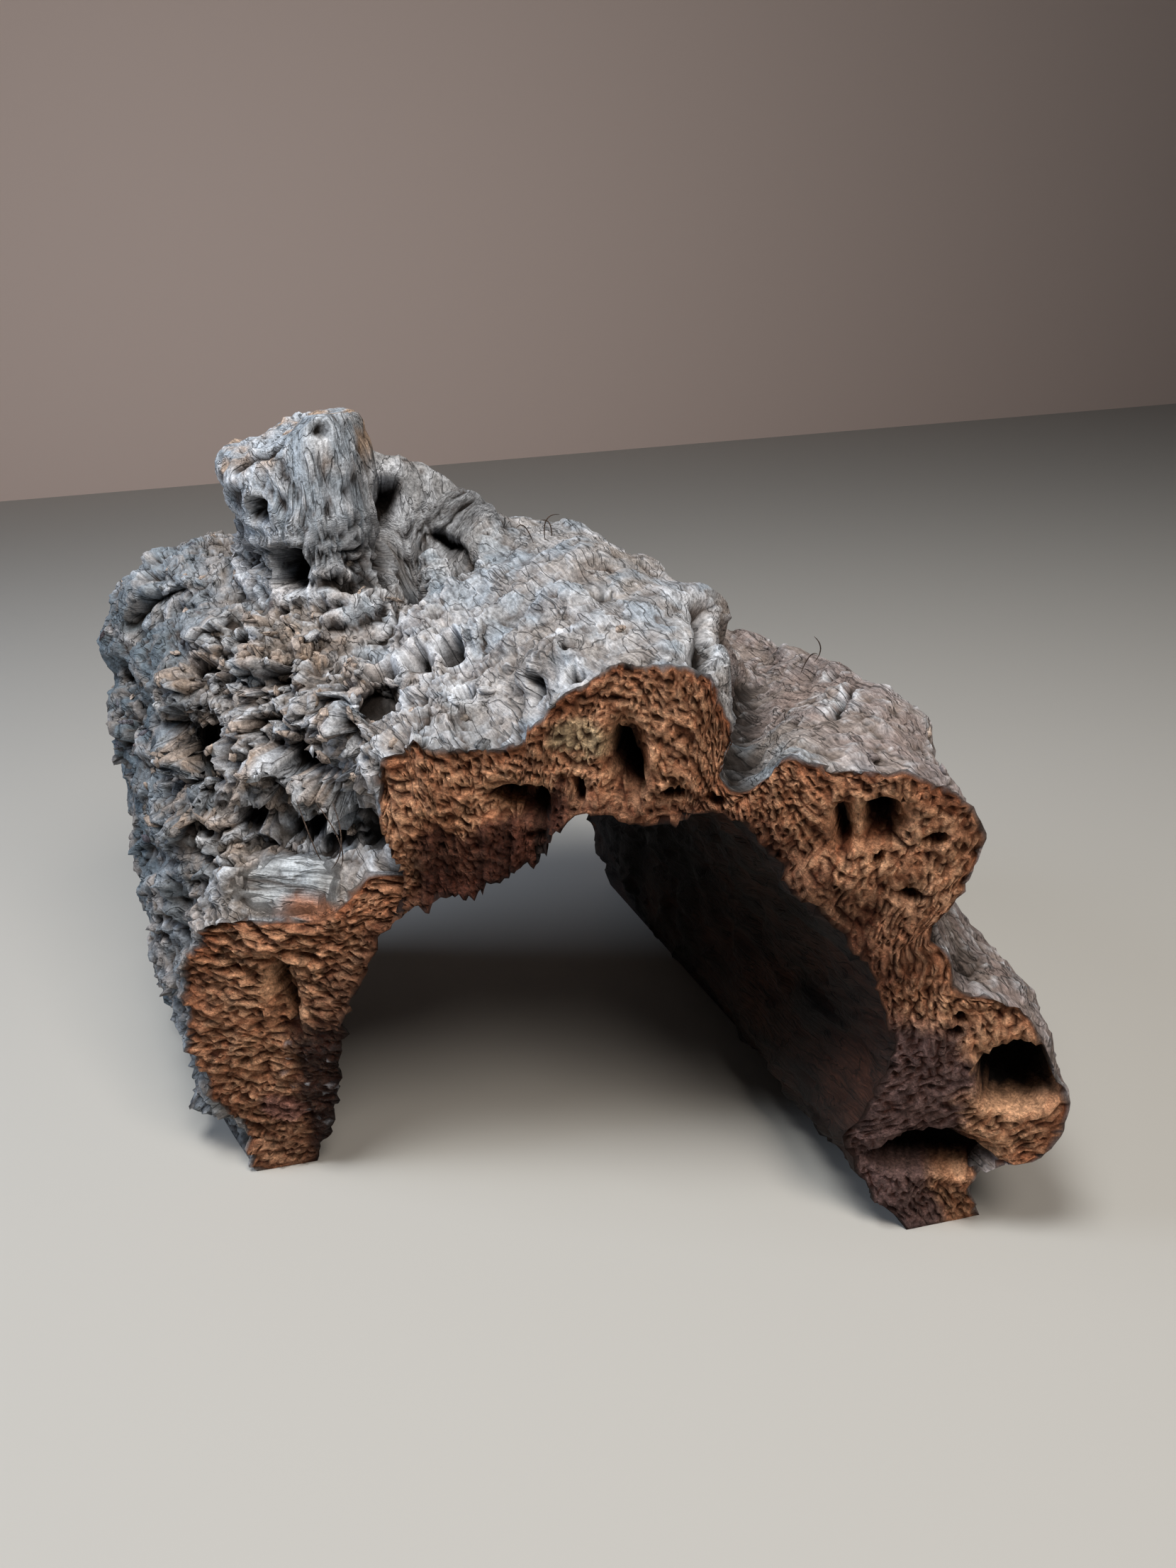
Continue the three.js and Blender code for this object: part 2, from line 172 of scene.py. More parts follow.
# The bark's block: s goes over the arch from the left foot to the right foot, t from the front to the rear,
# and r through the bark from the skin to the hollow. Its lines are in mm from the block's own zero.
block = {
    "zero": (26.026, -1.26, 0.0),  # where the object's origin is in the block's lines
    "over": 680,
    "along": 320,
    "through": 44,
    "triangles": 196000,
    "skin": [
        [(-131, -24, 0), (-144, 30, 0), (-150, 88, 0), (-152, 145, 0), (-146, 198, 0)],  # left foot
        [(-146, -16, 36), (-154, 30, 36), (-160, 88, 40), (-162, 145, 42), (-154, 200, 42)],  # left shin
        [(-152, -12, 80), (-157, 30, 88), (-162, 88, 92), (-164, 145, 96), (-160, 202, 95)],  # left leg
        [(-141, -18, 126), (-154, 30, 138), (-160, 88, 148), (-164, 145, 152), (-162, 203, 150)],  # left knee
        [(-121, -30, 142), (-146, 28, 180), (-152, 85, 198), (-160, 145, 206), (-162, 203, 200)],  # haunch
        [(-83, -52, 148), (-120, 22, 204), (-140, 82, 232), (-150, 143, 240), (-152, 203, 236)],  # left step
        [(-63, -63, 181), (-88, 8, 220), (-114, 75, 248), (-129, 142, 268), (-130, 203, 262)],  # shoulder
        [(-54, -69, 226), (-62, -4, 236), (-80, 68, 254), (-102, 136, 274), (-108, 203, 274)],  # step edge
        [(-28, -84, 230), (-35, -12, 244), (-48, 60, 256), (-62, 132, 266), (-70, 203, 270)],  # roof left
        [(-2, -98, 237), (-5, -25, 252), (-12, 50, 260), (-25, 126, 266), (-32, 203, 268)],  # roof
        [(24, -113, 264), (22, -38, 270), (18, 38, 270), (10, 116, 268), (5, 198, 264)],  # crest left
        [(43, -124, 267), (56, -50, 278), (60, 28, 284), (58, 108, 280), (50, 192, 268)],  # crest
        [(61, -134, 259), (90, -72, 264), (96, 10, 274), (94, 92, 272), (90, 186, 258)],  # crest right
        [(73, -141, 222), (112, -70, 219), (146, -10, 214), (150, 78, 210), (134, 182, 216)],  # valley
        [(112, -164, 229), (142, -112, 232), (170, -50, 228), (176, 55, 214), (160, 174, 198)],  # lobe crest
        [(139, -179, 221), (170, -122, 218), (192, -55, 206), (196, 45, 188), (182, 167, 168)],  # lobe side
        [(153, -187, 197), (175, -130, 180), (200, -58, 166), (204, 42, 154), (192, 162, 138)],  # right side
        [(149, -184, 134), (180, -132, 138), (202, -60, 130), (204, 42, 122), (194, 160, 110)],  # waist
        [(176, -200, 116), (203, -150, 110), (212, -70, 102), (210, 36, 94), (198, 158, 86)],  # over the lobe
        [(194, -210, 74), (214, -152, 76), (216, -74, 72), (213, 34, 66), (200, 156, 60)],  # leg lobe
        [(187, -206, 47), (206, -150, 50), (212, -70, 50), (209, 35, 46), (197, 156, 42)],  # undercut lip
        [(167, -195, 33), (190, -142, 28), (203, -68, 28), (202, 34, 26), (192, 155, 24)],  # undercut
        [(176, -185, 0), (190, -134, 0), (194, -62, 0), (196, 40, 0), (186, 160, 0)],  # right foot
    ],
    "hollow": [
        [(-102, -28, 0), (-110, 44, 0), (-114, 118, 0), (-112, 201, 0)],  # left foot
        [(-89, -47, 48), (-104, 34, 48), (-112, 114, 48), (-112, 201, 50)],  # left wall
        [(-80, -53, 92), (-98, 28, 94), (-108, 112, 98), (-112, 200, 102)],  # left haunch
        [(-64, -63, 135), (-80, 22, 144), (-90, 108, 155), (-97, 198, 160)],  # left vault
        [(-43, -75, 158), (-58, 14, 170), (-68, 102, 184), (-74, 196, 190)],  # vault
        [(-15, -90, 173), (-24, 5, 186), (-30, 96, 198), (-35, 194, 204)],  # high vault
        [(12, -106, 198), (6, -8, 200), (2, 90, 206), (0, 193, 208)],  # apex left
        [(42, -123, 197), (36, -20, 204), (32, 84, 207), (30, 192, 206)],  # apex
        [(71, -140, 203), (70, -32, 198), (66, 78, 197), (63, 191, 196)],  # apex right
        [(94, -153, 170), (96, -40, 170), (98, 74, 170), (97, 190, 168)],  # right vault
        [(121, -168, 125), (118, -50, 125), (118, 69, 126), (117, 189, 126)],  # right haunch
        [(130, -174, 90), (128, -55, 88), (127, 66, 86), (126, 188, 84)],  # right wall
        [(115, -165, 43), (119, -50, 42), (121, 68, 42), (129, 188, 42)],  # right sill
        [(140, -180, 0), (143, -58, 0), (142, 64, 0), (141, 186, 0)],  # right foot
    ],
}

# Large forms of the skin: ridges (above 0) and furrows (below 0) along paths, as first rise, last rise, width
# and path.
strokes = [
    (-26, -30, 12, [(-128, -8, 188), (-104, -26, 186), (-84, -40, 186), (-70, -48, 184)]),  # cave
    (9, 7, 10, [(-122, -22, 160), (-104, -34, 160), (-84, -46, 158)]),  # plate under the cave
    (-8, -12, 9, [(-150, 50, 196), (-160, 140, 212)]),  # upper flank furrow
    (-8, -8, 8, [(-154, 30, 150), (-163, 130, 160)]),  # lower flank furrow
    (-10, -12, 9, [(73, -141, 222), (112, -70, 219), (146, -10, 214)]),  # valley floor
    (-8, -12, 12, [(152, -188, 155), (196, -95, 145), (206, 20, 135)]),  # side furrow
    (-30, -18, 7, [(-7, 84, 266), (-11, 70, 264), (-13, 58, 262)]),  # pocket beside the collar
    (-20, -10, 6, [(-4, 84, 266), (14, 80, 266), (23, 62, 264), (17, 44, 262)]),  # crease round the knob
    (-13, -9, 7, [(-148, 130, 236), (-130, 112, 256), (-106, 96, 268), (-92, 84, 266)]),  # rear crack
    (5, 6, 11, [(-40, -52, 236), (-4, -60, 244), (20, -80, 262)]),  # roof front fold
    (-7, -6, 8, [(-44, -24, 240), (-6, -30, 250), (30, -20, 270)]),  # groove behind the fold
]
# Knobs and dips as rise, reach, place.
knobs = [
    (5, 52, (-140, 178, 236)),  # rear left lobe
    (14, 21, (4, 68, 264)),  # knob in the pocket
    (11, 24, (100, -48, 262)),  # lump beside the crest
    (13, 46, (-44, 62, 262)),  # skirt of the stump
    (-9, 34, (-40, 22, 248)),  # dip of the roof
    (-6, 24, (12, 10, 266)),  # dip before the crest
    (-10, 24, (-112, 30, 208)),  # left rough hollow
]
# The branch stump: its middle, how high it rises, how far it reaches to each side, the share of it that is
# flat, and its lean. It stands on the roof only, above a height.
collar = {
    "x": -50, "y": 112, "rise": 76, "left": 43, "right": 47, "front": 60, "back": 48, "plateau": 0.6,
    "lean": 0.0075, "levelFrom": 4, "slopeTo": -35, "above": 190,
}
# The stump's left horn: how far it stands out over the neck, between which rises, and over what width.
horn = {"reach": 11, "from": 24, "full": 56, "across": 26}
# The wing beside the stump: first rise, last rise, width and path.
wing = (68, 0, 19, [(-22, 112), (10, 106), (36, 101), (58, 98)])
# Slow lumps of each surface: size and rise.
skinLumps = [(42, 6), (19, 3.5)]
hollowLumps = [(50, 4)]
frontLumps = [(27, 3.5)]
rearLumps = [(34, 9)]
# The ragged rear: size and reach of its lumps, and where along the tunnel they begin.
rearBreak = {"size": 46, "reach": 13, "from": 0.72, "over": 0.28, "shift": 9.5}
# Large forms end at the floor over the first height, fine relief over the second.
footHeights = {"forms": 18, "relief": 5}


# Eases from 0 to 1.
def fade(x):
    c = np.clip(x, 0, 1)
    return c * c * (3 - 2 * c)


# 0 up to a start, and from there easing to 1 over a width.
def rising(x, start, width):
    return fade((x - start) / width)


# 1 until a width before an end, easing to 0 at the end.
def falling(x, end, width):
    return fade((end - x) / width)


def mix(a, b, f):
    return a + (b - a) * f


# Whole numbers as 32-bit cells, then one well-stirred number for each cell.
def cellHash(i, j, k):
    a = i.astype(np.int64).astype(np.uint32) * np.uint32(73856093)
    b = j.astype(np.int64).astype(np.uint32) * np.uint32(19349663)
    c = k.astype(np.int64).astype(np.uint32) * np.uint32(83492791)
    h = a ^ b ^ c
    h = (h ^ (h >> np.uint32(13))) * np.uint32(1274126177)
    return h ^ (h >> np.uint32(16))


# Gradient noise, about -1 to 1: each cell's corner has its own slope, and the slopes are blended over the
# cell.
def noise(p, size, shift=0.0):
    q = p / np.asarray(size, float) + shift
    cell = np.floor(q)
    f = q - cell
    e = f * f * f * (f * (f * 6 - 15) + 10)
    total = np.zeros(q.shape[:-1])
    for a in (0, 1):
        for b in (0, 1):
            for c in (0, 1):
                h = cellHash(cell[..., 0] + a, cell[..., 1] + b, cell[..., 2] + c)
                slopes = [((h >> np.uint32(s)) & np.uint32(1023)) / 511.5 - 1 for s in (0, 10, 20)]
                dot = slopes[0] * (f[..., 0] - a) + slopes[1] * (f[..., 1] - b) + slopes[2] * (f[..., 2] - c)
                weight = (e[..., 0] if a else 1 - e[..., 0]) * (e[..., 1] if b else 1 - e[..., 1])
                total += dot * weight * (e[..., 2] if c else 1 - e[..., 2])
    return 1.4 * total


# One point strewn in each cell of space: the distance to the nearest and to the next, in cells, the nearest's
# own number from 0 to 1, and the way from it. The points keep off their cells' sides, so that eight cells are
# enough.
def grains(p, size, shift=0.0):
    q = p / np.asarray(size, float) + shift
    cell = np.floor(q - 0.5)
    near = np.full(q.shape[:-1], 9.0)
    nextNear = np.full(q.shape[:-1], 9.0)
    own = np.zeros(q.shape[:-1])
    away = np.zeros(q.shape)
    for a in (0, 1):
        for b in (0, 1):
            for c in (0, 1):
                h = cellHash(cell[..., 0] + a, cell[..., 1] + b, cell[..., 2] + c)
                spread = [((h >> np.uint32(s)) & np.uint32(1023)) / 1023 for s in (0, 10, 20)]
                v = q - cell - np.array([a, b, c]) - 0.12 - 0.76 * np.stack(spread, -1)
                d = np.linalg.norm(v, axis=-1)
                closer = d < near
                nextNear = np.where(closer, near, np.minimum(nextNear, d))
                own = np.where(closer, ((h * np.uint32(2654435761)) >> np.uint32(20)) / 4095, own)
                away = np.where(closer[..., None], v, away)
                near = np.where(closer, d, near)
    return near, nextNear, own, away


# A Catmull-Rom curve through points along the first axis, read at places from 0 to 1.
def curve(points, at):
    points = np.asarray(points, float)
    whole = np.concatenate([[2 * points[0] - points[1]], points, [2 * points[-1] - points[-2]]])
    x = np.asarray(at) * (len(points) - 1)
    i = np.minimum(x.astype(int), len(points) - 2)
    w = (x - i).reshape((-1,) + (1,) * (points.ndim - 1))
    a, b, c, d = (whole[i + n] for n in range(4))
    start, end = (c - a) / 2, (d - b) / 2
    return b + w * (start + w * ((3 * (c - b) - 2 * start - end) + w * (2 * (b - c) + start + end)))


# A grid of points: a curve along each rail from front to rear, then a curve across the rails.
def railGrid(rails, over, along):
    lines = np.stack([curve(rail, along) for rail in rails])
    return curve(lines, over)


def unit(v):
    return v / np.maximum(np.linalg.norm(v, axis=-1, keepdims=True), 1e-9)


# Unit normals of a grid, away from the hollow.
def gridNormals(p):
    return unit(np.cross(np.gradient(p, axis=0), np.gradient(p, axis=1)))


# The rise along a stroke's path, which falls off as a bell with the distance from it.
def strokeRise(p, first, last, width, path):
    path = np.asarray(path, float)
    best = np.full(p.shape[:-1], np.inf)
    where = np.zeros(p.shape[:-1])
    for i, (a, b) in enumerate(zip(path[:-1], path[1:])):
        f = np.clip(((p - a) @ (b - a)) / ((b - a) @ (b - a)), 0, 1)
        d = np.linalg.norm(p - a - f[..., None] * (b - a), axis=-1)
        where = np.where(d < best, (i + f) / (len(path) - 1), where)
        best = np.minimum(best, d)
    return mix(first, last, where) * np.exp(-(best / width) ** 2)


def lumps(p, sizes):
    return sum(rise * noise(p, size) for size, rise in sizes)


# The stump is an oval dome with a flat top that leans, and the wing a ridge beside it; the higher one shows.
def collarRise(p):
    dx, dy = p[..., 0] - collar["x"], p[..., 1] - collar["y"]
    rx = np.where(dx < 0, collar["left"], collar["right"])
    ry = np.where(dy < 0, collar["front"], collar["back"])
    lean = 1 + collar["lean"] * np.clip(dx, collar["slopeTo"], collar["levelFrom"])
    stump = collar["rise"] * lean * fade((1 - np.hypot(dx / rx, dy / ry)) / (1 - collar["plateau"]))
    ridge = strokeRise(p[..., :2], *wing)
    return np.where(p[..., 2] < collar["above"], 0, np.maximum(stump, ridge))


# How far the stump's left horn stands out over its neck.
def hornReach(p):
    lifted = rising(collarRise(p), horn["from"], horn["full"] - horn["from"])
    return horn["reach"] * lifted * falling(p[..., 0], collar["x"], horn["across"])


def footFade(p):
    return fade(p[..., 2] / footHeights["forms"])


# Fine relief goes on almost down to the floor; the large forms end above it.
def soleFade(p):
    return fade(p[..., 2] / footHeights["relief"])


# How far the rear's lumps stand out, for places t from the front to the rear.
def breakReach(p, t):
    size = rearBreak["size"]
    q = np.stack([p[..., 0], np.full(p.shape[:-1], 0.5 * size), p[..., 2]], -1)
    lump = noise(q, size, np.array([rearBreak["shift"], 0, 0]))
    return rearBreak["reach"] * rising(t, rearBreak["from"], rearBreak["over"]) * lump


# 1 well inside a rounded zone, easing to 0 at its edge.
def zone(p, place, reach, soft):
    return fade((1 - np.linalg.norm((p - np.array(place, float)) / np.array(reach, float), axis=-1)) / soft)


# The same point moved a little by slow noise, so that patterns wander.
def wander(p, size, reach):
    moves = [noise(p, size, np.array([7.3, 1.9, 4.1]) * (n + 1)) for n in range(3)]
    return p + reach * np.stack(moves, -1)


# Long ridges with sharp tops, -1 to 1.
def ridges(p, size, shift=0.0):
    return 1 - 3 * np.abs(noise(p, size, shift))


# Noise in several sizes, each half the one before and a little more than half as strong.
def fractal(p, size, levels, shift=0.0):
    size = np.asarray(size, float)
    return sum(0.56 ** n * noise(p, size / 2 ** n, shift + 3.7 * n) for n in range(levels))


# Craggy relief: sharp ridges in several sizes, the small ones only where the large ones stand up.
def crags(p, size, levels, shift=0.0):
    size, total, share = np.asarray(size, float), 0.0, 1.0
    for n in range(levels):
        ridge = 1 - 2.2 * np.abs(noise(p, size / 2 ** n, shift + 2.3 * n))
        total = total + 0.6 ** n * share * (ridge - 0.45)
        share = np.clip(0.35 + 0.65 * ridge, 0, 1) * share
    return total


# Heights cut into flat steps with steep edges, as bark that has flaked off in layers.
def terraces(h, steps, steep=0.3):
    h = h * steps
    return (np.floor(h) + fade((h - np.floor(h) - 1 + steep) / steep) - 0.35) / steps


# Narrow lines where slow noise crosses 0, 1 on the line.
def cracks(p, size, width, shift=0.0):
    return np.exp(-(noise(p, size, shift) / width) ** 2)


# Broken blocks: each cell stands at its own height and leans its own way. Gives the height, -1 to 1, and how
# far a point is out of the crevices between the blocks, 0 to 1.
def blocks(p, size, lean, crevice, shift=0.0):
    near, nextNear, own, away = grains(p, size, shift)
    turn = own * 43
    slope = away[..., 0] * np.cos(turn) + away[..., 1] * np.sin(1.7 * turn) + away[..., 2] * np.sin(turn)
    return own - 0.5 + lean * slope, fade((nextNear - near) / crevice)


# Sparse pits, 1 at the middle of each: some of the cells have one, of its own width.
def pits(p, size, chance, width, shift=0.0):
    near, _, own, _ = grains(p, size, shift)
    return fade((width * (0.5 + own) - near) / (0.55 * width)) * (own > 1 - chance)


# Overlapping scales: a saw across the layers, high at each scale's lower edge, with a ragged phase. 0 to 1.
def scales(p, height, ragged, shift=0.0):
    phase = p[..., 0] / height + ragged * fractal(p, (1.2 * height, 1.9 * height, 1.7 * height), 3, shift)
    return 1 - (phase - np.floor(phase))


# Zones of the skin: place, reach and softness.
skinZones = {
    "shoulder": ((-96, 12, 212), (82, 108, 84), 0.45),
    "rearFlank": ((-146, 130, 225), (60, 100, 50), 0.5),
    "plate": ((-104, -42, 162), (33, 26, 18), 0.3),
    "lip": ((-102, -54, 149), (32, 20, 12), 0.4),
    "cave": ((-78, -54, 187), (27, 24, 17), 0.5),
    "stumpFoot": ((-36, 46, 266), (62, 36, 36), 0.5),
    "hornTip": ((-86, 100, 324), (14, 30, 14), 0.6),
}
# The hole that the stump's fibres swirl round, and the rings in it.
swirl = {"x": -76, "z": 300, "turn": 1.7, "width": 18}
eye = {"x": -77, "z": 304, "rise": 1.5, "rings": 0.8, "width": 15}


# How broken the skin is: most on the left shoulder, least on the stump and the right lobe.
def brokenness(p):
    x, z = p[..., 0], p[..., 2]
    shoulder = zone(p, *skinZones["shoulder"])
    roof = (0.1 + 0.24 * falling(x, 20, 60)) * rising(z, 212, 25) * falling(x, 70, 60)
    rear = 0.14 * zone(p, *skinZones["rearFlank"])
    flank = 0.5 * falling(x, -114, 20) * falling(z, 225, 25)
    calm = 1 - 0.94 * zone(p, *skinZones["plate"])
    calm *= 1 - 0.8 * rising(z, 280, 14)
    return np.clip(np.maximum.reduce([shoulder, roof, rear, flank, np.full(x.shape, 0.08)]), 0, 1) * calm


# Holes and small hollows of the skin: place, reach in x, y and z, depth.
skinHoles = [
    ((-77, 78, 304), (4.5, 6, 6), 10),
    ((-69, 64, 277), (8, 10, 10), 26),
    ((-11, -80, 240), (5, 5, 5), 11),
    ((8, -82, 250), (4, 4, 4), 9),
    ((14, -81, 256), (4, 4, 4), 9),
    ((18, -102, 259), (3.5, 3.5, 3.5), 7),
    ((-26, -14, 259), (6, 12, 16), 18),
    ((-11, -22, 263), (6, 13, 16), 18),
    ((-17, -56, 257), (5, 11, 16), 14),
    ((-42, -4, 251), (7, 11, 16), 15),
    ((2, -106, 264), (3.5, 3, 12), 8),
    ((-31, 27, 261), (7, 3, 14), 9),
    ((24, -70, 271), (3.5, 4, 4), 7),
    ((-119, -19, 194), (10, 9, 9), 16),
    ((-67, -62, 184), (10, 10, 13), 20),
    ((-84, -46, 189), (20, 18, 9), 18),
    ((-136, -18, 128), (5, 6, 6), 10),
    ((126, -157, 234), (5, 6, 5), 8),
    ((141, -96, 230), (3, 4, 4), 6),
]
# Fine furrows and folds that are drawn on the skin: first rise, last rise, width, path.
skinFurrows = [
    (6, 7, 8, [(-46, 14, 256), (-27, 4, 262), (-8, -2, 266), (4, -18, 268)]),
    (5, 4, 7, [(-30, -34, 254), (-14, -42, 262)]),
    (-7, -6, 2.2, [(-126, -32, 160), (-106, -36, 167), (-88, -48, 170), (-78, -60, 168)]),
    (-5, -4, 1.8, [(-112, -50, 156), (-96, -56, 160), (-82, -68, 160)]),
    (-10, -14, 6, [(-122, -14, 184), (-104, -30, 186), (-86, -44, 188), (-70, -54, 186), (-62, -62, 174)]),
    (-9, -7, 2.8, [(-66, 50, 264), (-44, 40, 263), (-16, 34, 262), (10, 38, 264)]),
    (-9, -7, 2.4, [(-80, 62, 270), (-56, 54, 270), (-28, 50, 268), (-12, 50, 266)]),
    (-6, -5, 2.2, [(-58, 30, 256), (-34, 22, 256), (-8, 18, 258)]),
    (-24, -24, 5.5, [(-10, 100, 304), (-12, 88, 290), (-15, 76, 274), (-15, 64, 266)]),
    (-12, -16, 3.6, [(-4, 104, 298), (9, 98, 286), (18, 82, 274), (20, 64, 267), (13, 46, 264)]),
    (-11, -15, 4.5, [(62, -126, 262), (88, -76, 268), (104, -34, 262), (112, 8, 252)]),
    (-9, -12, 3, [(78, -100, 268), (98, -84, 258), (106, -92, 240)]),
    (-14, -16, 3.8, [(-148, 134, 240), (-138, 130, 252), (-120, 112, 264), (-102, 98, 276), (-86, 90, 284)]),
    (-6, -5, 2.5, [(126, -120, 232), (150, -92, 232), (172, -70, 222)]),
    (-5, -7, 2.5, [(140, -60, 236), (176, -60, 220), (196, -80, 196)]),
    (-6, -4, 2.2, [(-60, 78, 322), (-44, 76, 316), (-34, 74, 300), (-40, 70, 284)]),
    (-5, -4, 2.0, [(-84, 88, 322), (-70, 78, 330), (-52, 74, 336)]),
]
# How far the drawn lines and the holes' edges wander: size of the noise and reach.
lineWander = (9, 2.2)
holeWander = (7, 1.8)
stripWander = (9, 1.2)


# The skin with its large forms, as in the solid model, and how far the stump lifts it.
def skinForm(over, along):
    base = railGrid(block["skin"], over, along)
    rise = lumps(base, skinLumps)
    for first, last, width, path in strokes:
        rise += strokeRise(base, first, last, width, path)
    for height, reach, place in knobs:
        rise += height * fade(1 - np.linalg.norm(base - place, axis=-1) / reach)
    p = base + gridNormals(base) * (rise * footFade(base))[..., None]
    stump = collarRise(base)
    p[..., 2] = np.maximum(0, p[..., 2] + stump)
    p[..., 0] -= hornReach(base)
    p[..., 1] += breakReach(base, along[None, :])
    return p, stump


def hollowForm(over, along):
    base = railGrid(block["hollow"], over, along)
    p = base + gridNormals(base) * (lumps(base, hollowLumps) * footFade(base))[..., None]
    p[..., 2] = np.maximum(0, p[..., 2])
    p[..., 1] += breakReach(base, along[None, :])
    return p


# Places on the silvery plate on top of the left leg: across it and up, then along it.
def platePlaces(p):
    x, y, z = p[..., 0], p[..., 1], p[..., 2]
    along = x * 0.82 - y * 0.57
    return np.stack([0.5 * (x * 0.57 + y * 0.82) + 0.8 * z, along, 0 * along], -1)


# Places along the grain: y runs along the fibres, which turn upright on the stump and swirl round its hole.
def skinGrain(p, stump):
    up = rising(stump, 6, 26)[..., None]
    dx, dz = p[..., 0] - swirl["x"], p[..., 2] - swirl["z"]
    turn = swirl["turn"] * np.exp(-(dx ** 2 + dz ** 2) / swirl["width"] ** 2) + 0.1 * noise(p, 34, 8.4)
    across, along = dx * np.cos(turn) - dz * np.sin(turn), dx * np.sin(turn) + dz * np.cos(turn)
    upright = np.stack([across, along, p[..., 1]], -1)
    onPlate = (zone(p, *skinZones["plate"]) > 0.4)[..., None]
    return np.where(onPlate, platePlaces(p), p * (1 - up) + upright * up)


# Rings round the stump's foot: how far out, and how far round, in mm.
def stumpRings(p):
    dx, dy = p[..., 0] - collar["x"], p[..., 1] - collar["y"]
    out = np.hypot(dx / collar["left"], dy / collar["front"]) * 50
    return np.stack([out, np.arctan2(dy, dx) * 45, 0 * out], -1)


# Where a thin crust has flaked off the calm skin, 1 inside the flaked patches.
def flaked(p):
    return rising(fractal(wander(p, 12, 3), (15, 22, 15), 3, 9.9), 0.08, 0.07)


# Patterns of the skin, as their functions take them: size in mm (across the grain, along it and through it),
# the function's own settings, and a shift that makes each pattern its own.
skinPatterns = {
    "slow": (70, 4.2),
    "chunky": (48, 1.1),
    "layers": ((32, 46, 24), 4, 5.5),
    "crags": ((20, 34, 16), 4, 1.9),
    "chunks": ((18, 24, 12), 0.95, 0.09, 4.4),
    "gaping": (23, 9.3),
    "crumbs": ((6, 9, 5), 0.9, 0.14, 8.1),
    "bigPits": ((27, 32, 24), 0.45, 0.3, 2.7),
    "smallPits": ((9, 12, 9), 0.12, 0.22, 6.1),
    "roofPits": ((24, 32, 24), 0.36, 0.2, 12.3),
    "fibres": ((2.8, 26, 2.8), 2, 1.0),
    "waves": ((10, 60, 10), 2.0),
    "folds": ((21, 110, 21), 3.0),
    "fineFolds": ((8, 70, 8), 6.0),
    "rings": ((6, 90, 1), 0.4),
    "cracks": ((26, 70, 26), 0.04, 2.2),
    "cracked": (30, 5.8),
    "strips": ((3.4, 26, 1), 4.1),
    "stripLayers": ((13, 60, 1), 2.1),
}
# How far each of them rises or sinks, in mm; the broken ones where the skin is broken.
skinRises = {
    "layers": 0.9, "brokenLayers": 10.0, "crags": 0.7, "brokenCrags": 2.5, "chunks": 6.0, "gaps": 5.5,
    "crumbs": 3.2, "crumbGaps": 1.6, "bigPits": 11, "smallPits": 3.4, "roofPits": 8.0, "flaked": 0.8,
    "fibres": 0.4, "waves": 0.9, "folds": 1.9, "fineFolds": 0.6, "rings": 2.2, "cracks": 0.8,
    "brokenCracks": 3.2, "strips": 1.3, "stripLayers": 4.0,
}


